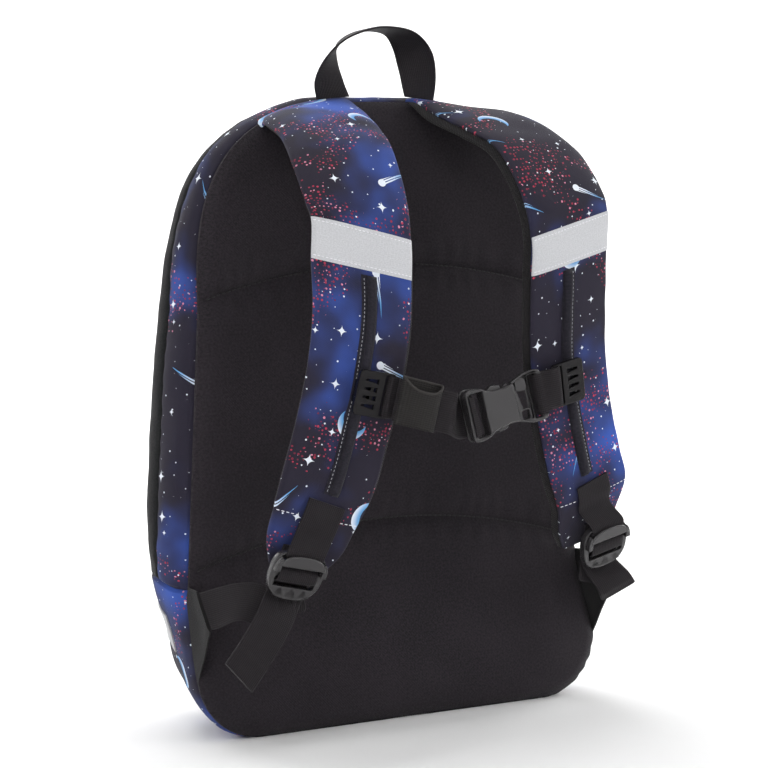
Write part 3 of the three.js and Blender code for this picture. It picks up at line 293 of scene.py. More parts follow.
# Camera that the photo was matched with, in the drawing frame
CAMERA_AZIMUTH, CAMERA_ELEVATION, CAMERA_ROLL = -29.6, 2.5, -2.01
CAMERA_DISTANCE, CAMERA_TARGET = 1515.0, (-5.1, 0.0, 214.3)
CAMERA_LENS, CAMERA_SENSOR, CAMERA_CLIP = 112.5, 36.0, 50.0

# Lights of the studio, in metres and watts
Light = namedtuple("Light", "name place target size power")
ON_BAG, ON_BACKDROP = (0.0, 0.0, 0.2), (2.0, 3.5, 0.5)
LIGHTS = table(Light, [
    ("key_light", (-1.5, -1.9, 1.9), ON_BAG, 1.4, 16),
    ("fill_light", (1.9, -1.7, 1.1), ON_BAG, 1.6, 9),
    ("top_light", (0.1, 0.6, 3.0), ON_BAG, 2.4, 40),
    ("back_light", (0.4, 2.2, 1.8), ON_BAG, 1.6, 14),
    ("backdrop_left", (-0.8, 2.6, 1.8), ON_BACKDROP, 1.2, 60),
    ("backdrop_right", (2.8, 0.5, 1.8), ON_BACKDROP, 1.2, 60),
])
WORLD_STRENGTH = 0.36

_, panel_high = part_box("back_panel")
zip_low, zip_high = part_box("zip_band")
SHIFT = np.array([(zip_low[0] + zip_high[0]) / 2 / MM, panel_high[1] / MM - (SEAM_DEPTH - GAP), 0.0])


# Small helpers for points and grids
def unit(vectors):
    vectors = np.asarray(vectors, dtype=float)
    return vectors / np.maximum(np.linalg.norm(vectors, axis=-1, keepdims=True), 1e-9)


def eased(values, power):
    """The value's sign with its size raised to a power, for outlines between an ellipse and a box."""
    return np.sign(values) * np.abs(values) ** power


def smoothstep(values, low, high):
    t = np.clip((values - low) / (high - low), 0, 1)
    return t * t * (3 - 2 * t)


def crowded(low, high, count, crowding=0.55):
    """Values from low to high that lie closer together towards both ends."""
    t = np.linspace(0, 1, count)
    return low + (high - low) * ((1 - crowding) * t + crowding * (0.5 - 0.5 * np.cos(math.pi * t)))


def full_turn(count):
    return np.linspace(0, 2 * math.pi, count, endpoint=False)


def ripple(u, v, wavelength, seed, waves=9):
    """Gentle random relief of about unit size over two coordinates."""
    rng = np.random.default_rng(seed)
    total = 0.0
    for _ in range(waves):
        turn = rng.uniform(0, 2 * math.pi)
        length = wavelength * rng.uniform(*WAVE_SPREAD)
        phase = rng.uniform(0, 2 * math.pi)
        total = total + np.sin(2 * math.pi / length * (math.cos(turn) * u + math.sin(turn) * v) + phase)
    return total * math.sqrt(2 / waves) / WAVE_PEAK


def folds(u, v, rows, seed=0):
    """Ripples of a table added up."""
    return sum(row.height * ripple(u, v, row.length, seed + row.draw) for row in rows)


def puckers(u, v, row, seed):
    """Small waves along u whose places wander."""
    return row.height * np.sin(2 * math.pi * u / row.length + row.wander * ripple(u, v, row.drift, seed))


def way_at(points, ts):
    """Smooth way through the points; each step from 0 to 1 in t passes an equal number of them."""
    points = np.asarray(points, dtype=float)
    padded = np.vstack([2 * points[0] - points[1], points, 2 * points[-1] - points[-2]])
    place = np.asarray(ts, dtype=float) * (len(points) - 1)
    low = np.clip(np.floor(place).astype(int), 0, len(points) - 2)
    weight = (place - low)[..., None]
    p0, p1, p2, p3 = (padded[low + k] for k in range(4))

    def knot(a, b):
        return np.maximum(np.linalg.norm(b - a, axis=-1, keepdims=True), 1e-6) ** 0.5

    d0, d1, d2 = knot(p0, p1), knot(p1, p2), knot(p2, p3)
    t1 = ((p1 - p0) / d0 - (p2 - p0) / (d0 + d1) + (p2 - p1) / d1) * d1
    t2 = ((p2 - p1) / d1 - (p3 - p1) / (d1 + d2) + (p3 - p2) / d2) * d1
    w2, w3 = weight ** 2, weight ** 3
    return p1 + t1 * weight + (-3 * p1 + 3 * p2 - 2 * t1 - t2) * w2 + (2 * p1 - 2 * p2 + t1 + t2) * w3


def way_lengths(points):
    steps = np.linalg.norm(np.diff(points, axis=0), axis=1)
    return np.concatenate([[0.0], np.cumsum(steps)])


def on_way(values, ways, wheres):
    """Points or directions at distances along their way."""
    return np.stack([np.interp(wheres, ways, values[:, k]) for k in range(values.shape[1])], axis=-1)


def grid_normals(grid):
    """Unit normals of a grid of points: direction of its rows crossed with that of its columns."""
    return unit(np.cross(np.gradient(grid, axis=0), np.gradient(grid, axis=1)))


Axes = namedtuple("Axes", "origin along across normal")


def axes_of(origin, along, across):
    along = unit(along)
    normal = unit(np.cross(along, across))
    return Axes(np.asarray(origin, dtype=float), along, np.cross(normal, along), normal)


def in_axes(axes, across, along, normal):
    return axes.origin + axes.across * across + axes.along * along + axes.normal * normal


# Meshes: a part has its points, its faces and a place for each point on the flat cloth
Part = namedtuple("Part", "points faces places")


def quads_between(first, second, wraps):
    """Faces between two rows of point numbers."""
    last = len(first) if wraps else len(first) - 1
    nexts = [(j + 1) % len(first) for j in range(last)]
    return [(first[j], second[j], second[k], first[k]) for j, k in zip(range(last), nexts)]


def shell(outer, inner, places):
    """Closed part between an outer and an inner grid of points."""
    rows, columns = outer.shape[:2]
    ids = np.arange(rows * columns).reshape(rows, columns)
    far = ids + rows * columns
    faces = []
    for i in range(rows - 1):
        faces += quads_between(ids[i], ids[i + 1], False)
        faces += [face[::-1] for face in quads_between(far[i], far[i + 1], False)]
    faces += quads_between(far[0], ids[0], False)
    faces += quads_between(ids[-1], far[-1], False)
    faces += [face[::-1] for face in quads_between(far[:, 0], ids[:, 0], False)]
    faces += [face[::-1] for face in quads_between(ids[:, -1], far[:, -1], False)]
    points = np.concatenate([outer.reshape(-1, 3), inner.reshape(-1, 3)])
    flat = places.reshape(-1, 2)
    return Part(points, faces, np.concatenate([flat, flat]))


def loft(sections, places=None):
    """Closed part through a row of closed sections, with flat ends."""
    rows, columns = sections.shape[:2]
    ids = np.arange(rows * columns).reshape(rows, columns)
    faces = []
    for i in range(rows - 1):
        faces += quads_between(ids[i], ids[i + 1], True)
    faces.append(tuple(ids[0]))
    faces.append(tuple(ids[-1][::-1]))
    if places is None:
        places = np.zeros((rows, columns, 2))
    return Part(sections.reshape(-1, 3), faces, places.reshape(-1, 2))


def round_faces(rows, columns):
    """Faces of a grid that closes on itself both ways."""
    ids = np.arange(rows * columns).reshape(rows, columns)
    faces = []
    for i in range(rows):
        faces += quads_between(ids[i], ids[(i + 1) % rows], True)
    return faces


def mirrored(part):
    return part._replace(points=part.points * np.array([-1, 1, 1]))


def signed_volume(part):
    total = 0.0
    for face in part.faces:
        corners = part.points[list(face)]
        spokes = np.cross(corners[1:-1] - corners[0], corners[2:] - corners[0])
        total += float(np.sum(spokes @ corners[0]))
    return total


def facing_out(part):
    if signed_volume(part) >= 0:
        return part
    return part._replace(faces=[tuple(face[::-1]) for face in part.faces])


def link(name, data):
    obj = bpy.data.objects.new(name, data)
    bpy.context.scene.collection.objects.link(obj)
    return obj


def build(name, parts, material, nodes=(), sharp=40.0):
    """One object of the given closed parts, riding on the root and standing for its CAD nodes."""
    points, faces, places = [], [], []
    count = 0
    for part in map(facing_out, parts):
        points.append((part.points + SHIFT) * MM)
        faces += [tuple(int(i) + count for i in face) for face in part.faces]
        places.append(part.places * MM)
        count += len(part.points)
    mesh = bpy.data.meshes.new(name)
    mesh.from_pydata(np.concatenate(points).tolist(), [], faces)
    flat = np.concatenate(places)
    corners = np.empty(len(mesh.loops), dtype=np.int32)
    mesh.loops.foreach_get("vertex_index", corners)
    layer = mesh.uv_layers.new(name="UVMap")
    layer.data.foreach_set("uv", flat[corners].astype(np.float32).ravel())
    mesh.polygons.foreach_set("use_smooth", [True] * len(mesh.polygons))
    mesh.set_sharp_from_angle(angle=math.radians(sharp))
    mesh.materials.append(material)
    obj = link(name, mesh)
    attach(obj, "root")
    if nodes:
        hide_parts(*nodes)
    return obj


def piece(name, parts, material):
    """An object that stands for the CAD node of its own name."""
    return build(name, parts, material, [name])


def stitch_row(path, normals, stitch, sides=6):
    """Threads along a path, one short rounded stroke for each stitch, half sunk in the cloth."""
    ways = way_lengths(path)
    count = max(1, int(ways[-1] / stitch.pitch))
    turns = full_turn(sides)
    half = stitch.length / 2
    shape = [(row.share * stitch.length, row.size * stitch.radius) for row in STITCH_SHAPE]
    parts = []
    for start in (np.arange(count) + 0.5) * ways[-1] / count:
        middle = on_way(path, ways, start)
        along = unit(on_way(path, ways, start + half) - on_way(path, ways, start - half))
        normal = unit(on_way(normals, ways, start))
        across = unit(np.cross(along, normal))
        ring = np.outer(np.cos(turns), across) + np.outer(np.sin(turns), normal)
        parts.append(loft(np.array([middle + along * way + size * ring for way, size in shape])))
    return parts


def ribbon(stations, hem=0.0, step=1.5, sides=20):
    """Webbing with rounded edges along a smooth way; the hem is a doubled stretch at its end."""
    ts = np.linspace(0, 1, 40 * len(stations))
    dense = way_at([s.point for s in stations], ts)
    dense_across = unit(way_at(unit([s.across for s in stations]), ts))
    ways = way_lengths(dense)
    wheres = np.linspace(0, ways[-1], max(8, int(ways[-1] / step)))
    middle = on_way(dense, ways, wheres)
    across = unit(on_way(dense_across, ways, wheres))
    normal = unit(np.cross(np.gradient(middle, axis=0), across))
    turns = full_turn(sides) + math.pi / sides
    aside = eased(np.cos(turns), 0.22) * WEBBING_WIDTH / 2
    raised = eased(np.sin(turns), 0.7) * WEBBING_THICKNESS / 2
    doubling = 1 + (wheres > ways[-1] - hem) * 0.9
    sections = (
        middle[:, None]
        + across[:, None] * aside[None, :, None]
        + normal[:, None] * (raised[None, :] * doubling[:, None])[..., None]
    )
    places = np.stack(np.broadcast_arrays(aside[None, :], wheres[:, None]), axis=-1)
    return loft(sections, places)


def plate(outline, holes, low, high, bevel):
    """Flat moulded piece with rounded edges: an outline with holes between two heights."""
    curve = bpy.data.curves.new("drawing", "CURVE")
    curve.dimensions = "2D"
    curve.fill_mode = "BOTH"
    curve.extrude = (high - low) / 2 - bevel
    curve.bevel_depth = bevel
    curve.bevel_resolution = 2
    curve.offset = -bevel
    for corners in [outline, *holes]:
        spline = curve.splines.new("POLY")
        spline.points.add(len(corners) - 1)
        for point, (x, y) in zip(spline.points, corners):
            point.co = (x, y, 0, 1)
        spline.use_cyclic_u = True
    obj = bpy.data.objects.new("drawing", curve)
    mesh = obj.to_mesh()
    points = np.array([vertex.co for vertex in mesh.vertices]) + np.array([0, 0, (low + high) / 2])
    faces = [tuple(polygon.vertices) for polygon in mesh.polygons]
    obj.to_mesh_clear()
    bpy.data.objects.remove(obj)
    bpy.data.curves.remove(curve)
    return Part(points, faces, points[:, :2].copy())


def box_outline(x0, y0, x1, y1, radius=0.8, steps=5):
    """Rectangle with round corners."""
    corners = []
    for cx, cy, start in ((x1, y0, -90), (x1, y1, 0), (x0, y1, 90), (x0, y0, 180)):
        middle_x = cx - radius if cx == x1 else cx + radius
        middle_y = cy - radius if cy == y1 else cy + radius
        for k in range(steps + 1):
            turn = math.radians(start + 90 * k / steps)
            corners.append((middle_x + radius * math.cos(turn), middle_y + radius * math.sin(turn)))
    return corners


def side_boxes(x0, x1, inner, outer, radius=0.8):
    """Two boxes, one on each side of the length axis."""
    return [box_outline(x0, low, x1, high, radius) for low, high in ((-outer, -inner), (inner, outer))]


# Body surface: the panel's outline by its length, from the middle of the base up the right side
def panel_half_width(z):
    z = np.asarray(z, dtype=float)
    corner_top = PANEL_BOTTOM + PANEL_CORNER
    low = PANEL_LOW_HALF - PANEL_CORNER + np.sqrt(np.maximum(0, PANEL_CORNER ** 2 - (corner_top - z) ** 2))
    share = (z - corner_top) / (PANEL_SPRING - corner_top)
    side = PANEL_LOW_HALF + (PANEL_ARCH_HALF - PANEL_LOW_HALF) * share
    rise = np.clip((z - PANEL_SPRING) / PANEL_RISE, 0, 1)
    arch = PANEL_ARCH_HALF * (1 - rise ** PANEL_ARCH_POWER) ** (1 / PANEL_ARCH_POWER)
    width = np.where(z < corner_top, low, np.where(z < PANEL_SPRING, side, arch))
    return np.where((z <= PANEL_BOTTOM) | (z >= PANEL_TOP), 0.0, width)


def top_seam_height(x):
    share = np.clip(np.abs(x) / PANEL_ARCH_HALF, 0, 1)
    return PANEL_SPRING + PANEL_RISE * (1 - share ** PANEL_ARCH_POWER) ** (1 / PANEL_ARCH_POWER)


def right_outline(steps=60):
    low = np.radians(np.linspace(-90, 0, steps))
    high = np.radians(np.linspace(0, 90, 2 * steps))
    corner = np.stack([
        PANEL_LOW_HALF - PANEL_CORNER + PANEL_CORNER * np.cos(low),
        PANEL_BOTTOM + PANEL_CORNER + PANEL_CORNER * np.sin(low),
    ], axis=-1)
    arch = np.stack([
        PANEL_ARCH_HALF * np.maximum(0, np.cos(high)) ** (2 / PANEL_ARCH_POWER),
        PANEL_SPRING + PANEL_RISE * np.sin(high) ** (2 / PANEL_ARCH_POWER),
    ], axis=-1)
    return np.vstack([[(0.0, PANEL_BOTTOM)], corner, arch])


half_outline = right_outline()
OUTLINE = np.vstack([half_outline, half_outline[-2::-1] * np.array([-1, 1])])
OUTLINE_WAYS = way_lengths(OUTLINE)
OUTLINE_LENGTH = OUTLINE_WAYS[-1]
NORMAL_REACH = 6.0


def outline_at(s):
    return on_way(OUTLINE, OUTLINE_WAYS, np.mod(s, OUTLINE_LENGTH))


def way_to_height(z):
    corner_top = PANEL_BOTTOM + PANEL_CORNER
    to_corner = PANEL_LOW_HALF - PANEL_CORNER + PANEL_CORNER * math.pi / 2
    return to_corner + math.hypot(z - corner_top, float(panel_half_width(z)) - PANEL_LOW_HALF)


def body_value(name, depth):
    """Column of the body's table at a depth, smooth through its rows."""
    depths = np.array([row.depth for row in BODY_ROWS], dtype=float)
    values = np.array([getattr(row, name) for row in BODY_ROWS], dtype=float)
    index = np.arange(len(depths))
    before, after = np.maximum(index - 1, 0), np.minimum(index + 1, len(depths) - 1)
    slopes = (values[after] - values[before]) / (depths[after] - depths[before])
    high = np.clip(np.searchsorted(depths, depth), 1, len(depths) - 1)
    span = depths[high] - depths[high - 1]
    t = (depth - depths[high - 1]) / span
    ease = t * t * (3 - 2 * t)
    bend = t * (1 - t) * (slopes[high - 1] * (1 - t) - slopes[high] * t)
    return values[high - 1] + (values[high] - values[high - 1]) * ease + bend * span


def bulge_share(z):
    """Share of the bulge at a height: none at the base, full over the middle, less towards the top."""
    over = smoothstep(z, BULGE_FULL_TO, BULGE_END)
    return smoothstep(z, BULGE_NONE, BULGE_FULL_FROM) * (1 + (BULGE_END_SHARE - 1) * over)


def lean_at(z):
    return LEAN_BY * (1 - smoothstep(z, LEAN_FULL, LEAN_NONE))


def body_point(depth, s):
    depth, s = np.broadcast_arrays(np.asarray(depth, dtype=float), np.asarray(s, dtype=float))
    flat = outline_at(s)
    x, z = flat[..., 0], flat[..., 1]
    tangent = unit(outline_at(s + NORMAL_REACH) - outline_at(s - NORMAL_REACH))
    taper = body_value("taper", depth)
    bulge = body_value("bulge", depth) * bulge_share(z)
    wide = smoothstep(np.abs(x), LIFT_INNER_X, LIFT_OUTER_X)
    lift = body_value("lift", depth) * (1 - smoothstep(z, LIFT_LOW, LIFT_HIGH)) * wide
    height = np.where(z > TAPER_HEIGHT, TAPER_HEIGHT + (z - TAPER_HEIGHT) * taper, z)
    wedge = 1 - WEDGE_THINNING * smoothstep(z, WEDGE_FROM, PANEL_TOP)
    return np.stack([
        x * taper + tangent[..., 1] * bulge + lean_at(z),
        SEAM_DEPTH + (depth - SEAM_DEPTH) * wedge,
        height - tangent[..., 0] * bulge + lift,
    ], axis=-1)


def body_normal(depth, s):
    down = body_point(depth, s - 1) - body_point(depth, s + 1)
    forward = body_point(depth + 1, s) - body_point(depth - 1, s)
    return unit(np.cross(down, forward))


def body_grid(depths, ways, offset):
    """Grid on the body surface, pushed out along its normals and kept above the floor."""
    depth, way = np.meshgrid(depths, ways, indexing="ij")
    grid = body_point(depth, way) + body_normal(depth, way) * offset[..., None]
    grid[..., 2] = np.maximum(grid[..., 2], 0)
    return grid


# Shoulder strap surface, right side
STRAP_IN = [(row.in_x, -row.in_out, row.in_z) for row in STRAP_ROWS]
STRAP_OUT = [(row.out_x, -row.out_out, row.out_z) for row in STRAP_ROWS]
STRAP_CROWN = [row.crown for row in STRAP_ROWS]
STRAP_PAD = [row.pad for row in STRAP_ROWS]
ROW_NUMBERS = np.arange(len(STRAP_ROWS))


def strap_face(row, share):
    row, share = np.broadcast_arrays(np.asarray(row, dtype=float), np.asarray(share, dtype=float))
    reach = 1e-3
    inner = way_at(STRAP_IN, row / STRAP_LAST)
    outer = way_at(STRAP_OUT, row / STRAP_LAST)
    ahead, behind = np.clip(row + reach, 0, STRAP_LAST), np.clip(row - reach, 0, STRAP_LAST)
    tangent = unit(way_at(STRAP_IN, ahead / STRAP_LAST) - way_at(STRAP_IN, behind / STRAP_LAST))
    tangent = tangent + unit(way_at(STRAP_OUT, ahead / STRAP_LAST) - way_at(STRAP_OUT, behind / STRAP_LAST))
    normal = unit(np.cross(tangent, outer - inner))
    point = inner + (outer - inner) * ((share + 1) / 2)[..., None]
    crown = np.interp(row, ROW_NUMBERS, STRAP_CROWN) * (1 - share ** STRAP_CROWN_POWER)
    point = point + normal * crown[..., None]
    seated = 1 - smoothstep(row, STRAP_SEATED_TO, STRAP_FREE_FROM)
    height = top_seam_height(point[..., 0]) + STRAP_SEAT
    point[..., 2] = point[..., 2] + (height - point[..., 2]) * seated
    return point


def strap_normal(row, share, reach=0.06):
    row, share = np.broadcast_arrays(np.asarray(row, dtype=float), np.asarray(share, dtype=float))
    low, high = np.clip(row - reach, 0, STRAP_LAST), np.clip(row + reach, 0, STRAP_LAST)
    along = strap_face(high, share) - strap_face(low, share)
    across = strap_face(row, share + reach) - strap_face(row, share - reach)
    return unit(np.cross(along, across))


def strap_half_width(row):
    return np.linalg.norm(strap_face(row, 1.0) - strap_face(row, -1.0), axis=-1) / 2


def strap_axes(row, share, reach=0.1):
    along = strap_face(row + reach, share) - strap_face(row - reach, share)
    across = strap_face(row, share + reach) - strap_face(row, share - reach)
    return axes_of(strap_face(row, share), along, across)


def strap_places(rows, shares):
    """Flat places on the strap's cloth: distance from its middle line, and way down it."""
    fine = np.linspace(0, STRAP_LAST, 400)
    ways = way_lengths(strap_face(fine, 0.0))
    row, share = np.broadcast_arrays(rows, shares)
    return np.stack([share * strap_half_width(row), np.interp(row, fine, ways)], axis=-1)


# Materials
class Shader:
    """Short names for making the nodes of one material."""

    def __init__(self, name, roughness, sheen=0.0, specular=0.5):
        self.material = bpy.data.materials.new(name)
        self.material.use_nodes = True
        self.tree = self.material.node_tree
        self.surface = self.tree.nodes["Principled BSDF"]
        self.surface.inputs["Roughness"].default_value = roughness
        self.surface.inputs["Sheen Weight"].default_value = sheen
        self.surface.inputs["Specular IOR Level"].default_value = specular

    def put(self, socket, value):
        if isinstance(value, bpy.types.NodeSocket):
            self.tree.links.new(value, socket)
        else:
            socket.default_value = value

    def add(self, kind, inputs, output=0, **settings):
        node = self.tree.nodes.new(kind)
        for key, value in settings.items():
            setattr(node, key, value)
        for key, value in inputs.items():
            self.put(node.inputs[key], value)
        return node.outputs[output]

    def math(self, operation, a, b=0.0):
        return self.add("ShaderNodeMath", {0: a, 1: b}, operation=operation)

    def both(self, a, b):
        return self.math("MULTIPLY", a, b)

    def multiply_add(self, a, b, c):
        return self.add("ShaderNodeMath", {0: a, 1: b, 2: c}, operation="MULTIPLY_ADD")

    def sine(self, value, turn):
        return self.math("SINE", self.math("MULTIPLY", value, turn))

    def over(self, value, limit):
        return self.math("GREATER_THAN", value, limit)

    def vector(self, operation, a, b):
        return self.add("ShaderNodeVectorMath", {0: a, 1: b}, operation=operation)

    def mix(self, share, a, b):
        return self.add("ShaderNodeMix", {0: share, 6: a, 7: b}, 2, data_type="RGBA")

    def fade(self, value, low, high):
        inputs = {"Value": value, "From Min": low, "From Max": high}
        return self.add("ShaderNodeMapRange", inputs, interpolation_type="SMOOTHSTEP")

    def flat_place(self):
        """Place on the cloth in millimetres."""
        place = self.add("ShaderNodeUVMap", {}, uv_map="UVMap")
        return self.vector("MULTIPLY", place, (1000, 1000, 0))

    def noise(self, place, size, detail=2.0, roughness=0.5):
        inputs = {"Vector": place, "Scale": 1 / size, "Detail": detail, "Roughness": roughness}
        return self.add("ShaderNodeTexNoise", inputs, noise_dimensions="2D")

    def split(self, vector):
        node = self.tree.nodes.new("ShaderNodeSeparateXYZ")
        self.put(node.inputs[0], vector)
        return node.outputs[0], node.outputs[1], node.outputs[2]

    def bump(self, height, distance, strength=1.0):
        normal = self.add("ShaderNodeBump", {"Height": height, "Distance": distance, "Strength": strength})
        self.put(self.surface.inputs["Normal"], normal)

    def colour(self, value):
        self.put(self.surface.inputs["Base Color"], value)
        return self.material

    def scatter(self, place, cell, shift, randomness=0.8):
        """One spot in each cell: offset from it in millimetres and three random numbers."""
        step = 1 / cell
        inputs = {0: place, 1: (step, step, 0), 2: (shift, 1.7 * shift, 0)}
        scaled = self.add("ShaderNodeVectorMath", inputs, operation="MULTIPLY_ADD")
        node = self.tree.nodes.new("ShaderNodeTexVoronoi")
        node.voronoi_dimensions = "2D"
        node.inputs["Scale"].default_value = 1.0
        node.inputs["Randomness"].default_value = randomness
        self.put(node.inputs["Vector"], scaled)
        offset = self.vector("SUBTRACT", scaled, node.outputs["Position"])
        local = self.vector("MULTIPLY", offset, (cell, cell, 0))
        return local, self.split(node.outputs["Color"])

    def turned(self, local, random):
        angle = self.math("MULTIPLY", random, 2 * math.pi)
        return self.add("ShaderNodeVectorRotate", {"Vector": local, "Angle": angle}, rotation_type="Z_AXIS")

    def length(self, vector):
        return self.add("ShaderNodeVectorMath", {0: vector}, 1, operation="LENGTH")

    def inside(self, distance, radius):
        return self.math("LESS_THAN", distance, radius)

    def between(self, value, low, high):
        return self.both(self.over(value, low), self.inside(value, high))


def weave_bump(shader, place, pitch, distance):
    """Fine over and under relief of a plain weave."""
    x, y, _ = shader.split(place)
    turn = 2 * math.pi / pitch
    shader.bump(shader.both(shader.sine(x, turn), shader.sine(y, turn)), distance * MM)


NIGHT = (0.021, 0.018, 0.031, 1)
CLOUD_DEEP = (0.030, 0.046, 0.16, 1)
CLOUD_BLUE = (0.042, 0.100, 0.44, 1)
STAR_WHITE = (0.80, 0.85, 0.92, 1)
SKY_BLUE = (0.11, 0.34, 0.66, 1)
DOT_DARK = (0.16, 0.022, 0.045, 1)
DOT_RED = (0.56, 0.050, 0.095, 1)
DOT_PINK = (0.72, 0.26, 0.36, 1)
CLOUD_EDGE, CLOUD_CORE = (0.48, 0.66), (0.58, 0.78)
CLOUD_SIZE, BAND_SIZE, BAND_SHIFT, BAND_REACH = 95.0, 80.0, (700, 300, 0), 0.085
DOT_CELL, STAR_CELL, SPARKLE_CELL, MOTIF_CELL = 2.5, 8.5, 26.0, 52.0
DOT_SHIFT, STAR_SHIFT, SPARKLE_SHIFT, MOTIF_SHIFT = 11.3, 3.1, 7.7, 19.4
DOT_LEAST, DOT_SPREAD, STAR_MOST, SPARKLE_LEAST, SPARKLE_SPREAD = 0.22, 0.55, 0.6, 1.35, 0.8
STARS_FROM, SPARKLES_FROM, PINK_FROM, MOONS, COMETS = 0.3, 0.45, 0.8, (0.05, 0.40), (0.40, 0.72)
MOON_RADIUS, BITE_RADIUS, BITE_ASIDE, MOON_GLOW = 9.0, 8.0, (4.2, 1.5, 0), 14.0
COMET_LENGTH, COMET_TAPER, COMET_HEAD, COMET_GLOW = 26.0, 0.085, 2.4, (2.0, 20.0)
STREAK_TURN, STREAK_FROM = 4.2, -0.35


def print_cloth():
    """Night sky print: soft blue clouds, moons, comets, sparkles, fine stars and winding bands of dots."""
    cloth = Shader("print_cloth", roughness=0.74, sheen=0.04, specular=0.16)
    place = cloth.flat_place()
    cloud = cloth.noise(place, CLOUD_SIZE, detail=3.0, roughness=0.55)
    sky = cloth.mix(cloth.fade(cloud, *CLOUD_EDGE), NIGHT, CLOUD_DEEP)
    sky = cloth.mix(cloth.fade(cloud, *CLOUD_CORE), sky, CLOUD_BLUE)

    bands = cloth.noise(cloth.vector("ADD", place, BAND_SHIFT), BAND_SIZE, detail=1.0)
    near_band = cloth.math("ABSOLUTE", cloth.math("SUBTRACT", bands, 0.5))
    local, (first, second, third) = cloth.scatter(place, DOT_CELL, DOT_SHIFT)
    dot = cloth.inside(cloth.length(local), cloth.multiply_add(first, DOT_SPREAD, DOT_LEAST))
    dotted = cloth.both(dot, cloth.inside(near_band, cloth.both(second, BAND_REACH)))
    bright = cloth.mix(cloth.over(third, PINK_FROM), DOT_RED, DOT_PINK)
    sky = cloth.mix(dotted, sky, cloth.mix(third, DOT_DARK, bright))

    local, (first, second, _) = cloth.scatter(place, STAR_CELL, STAR_SHIFT, 1.0)
    star = cloth.inside(cloth.length(local), cloth.both(first, STAR_MOST))
    sky = cloth.mix(cloth.both(star, cloth.over(second, STARS_FROM)), sky, STAR_WHITE)

    local, (first, second, _) = cloth.scatter(place, SPARKLE_CELL, SPARKLE_SHIFT)
    x, y, _ = cloth.split(local)
    x = cloth.math("SQRT", cloth.math("ABSOLUTE", x))
    y = cloth.math("SQRT", cloth.math("ABSOLUTE", y))
    reach = cloth.multiply_add(first, SPARKLE_SPREAD, SPARKLE_LEAST)
    sparkle = cloth.inside(cloth.math("ADD", x, y), reach)
    sky = cloth.mix(cloth.both(sparkle, cloth.over(second, SPARKLES_FROM)), sky, STAR_WHITE)

    local, (first, second, _) = cloth.scatter(place, MOTIF_CELL, MOTIF_SHIFT, 0.6)
    local = cloth.turned(local, first)
    x, y, _ = cloth.split(local)
    radius = cloth.length(local)
    bite = cloth.length(cloth.vector("ADD", local, BITE_ASIDE))
    moon = cloth.both(cloth.inside(radius, MOON_RADIUS), cloth.over(bite, BITE_RADIUS))
    moon = cloth.both(moon, cloth.between(second, *MOONS))
    taper = cloth.both(cloth.math("SUBTRACT", COMET_LENGTH, x), COMET_TAPER)
    tail = cloth.both(cloth.inside(cloth.math("ABSOLUTE", y), taper), cloth.between(x, 0.0, COMET_LENGTH))
    tail = cloth.both(tail, cloth.over(cloth.sine(y, STREAK_TURN), STREAK_FROM))
    comet = cloth.math("MAXIMUM", tail, cloth.inside(radius, COMET_HEAD))
    comet = cloth.both(comet, cloth.between(second, *COMETS))
    sky = cloth.mix(moon, sky, cloth.mix(cloth.fade(bite, BITE_RADIUS, MOON_GLOW), SKY_BLUE, STAR_WHITE))
    sky = cloth.mix(comet, sky, cloth.mix(cloth.fade(x, *COMET_GLOW), STAR_WHITE, SKY_BLUE))
    weave_bump(cloth, place, pitch=1.1, distance=0.05)
    return cloth.colour(sky)


def plain_cloth(name, dark, light, roughness, pitch, relief):
    """Single colour woven cloth with a faint grain."""
    cloth = Shader(name, roughness=roughness, sheen=0.06, specular=0.18)
    place = cloth.flat_place()
    grain = cloth.noise(place, 1.4, detail=2.0, roughness=0.7)
    patches = cloth.noise(place, 60.0, detail=2.0)
    share = cloth.multiply_add(grain, 0.75, cloth.both(patches, 0.25))
    weave_bump(cloth, place, pitch, relief)
    return cloth.colour(cloth.mix(cloth.fade(share, 0.25, 0.75), dark, light))


def webbing_cloth(name, dark, light, rib=1.25, weft=1.0):
    """Webbing with ribs along it and short floats across; its colour follows the relief, with painted light
    on the raised threads and painted shade in the hollows.
    """
    cloth = Shader(name, roughness=0.7, sheen=0.03, specular=0.14)
    x, y, _ = cloth.split(cloth.flat_place())
    ribs = cloth.sine(x, 2 * math.pi / rib)
    floats = cloth.math("SINE", cloth.math("ADD", cloth.both(y, 2 * math.pi / weft), ribs))
    height = cloth.math("ADD", cloth.both(ribs, 0.6), cloth.both(floats, 0.4))
    cloth.bump(height, 0.09 * MM)
    # Colour from the relief's height: painted light on the raised threads, painted shade in the hollows
    return cloth.colour(cloth.mix(cloth.fade(height, -1.0, 1.0), dark, light))


def moulded_plastic(name, colour, specular):
    """Plastic with a fine grain, on places of the object itself."""
    plastic = Shader(name, roughness=0.27, specular=specular)
    place = plastic.add("ShaderNodeTexCoord", {}, 3)
    grain = plastic.add("ShaderNodeTexNoise", {"Vector": place, "Scale": 2600.0, "Detail": 2.0})
    plastic.bump(grain, 0.03 * MM, 0.6)
    return plastic.colour(colour)


def reflective_tape(name, dark, light, rib=1.2):
    tape = Shader(name, roughness=0.38, specular=0.5)
    place = tape.flat_place()
    grain = tape.noise(place, 0.9, detail=2.0, roughness=0.7)
    _, y, _ = tape.split(place)
    tape.bump(tape.multiply_add(tape.sine(y, 2 * math.pi / rib), 0.3, grain), 0.06 * MM)
    return tape.colour(tape.mix(tape.fade(grain, 0.2, 0.8), dark, light))


def thread(name, colour):
    return Shader(name, roughness=0.6, sheen=0.1).colour(colour)


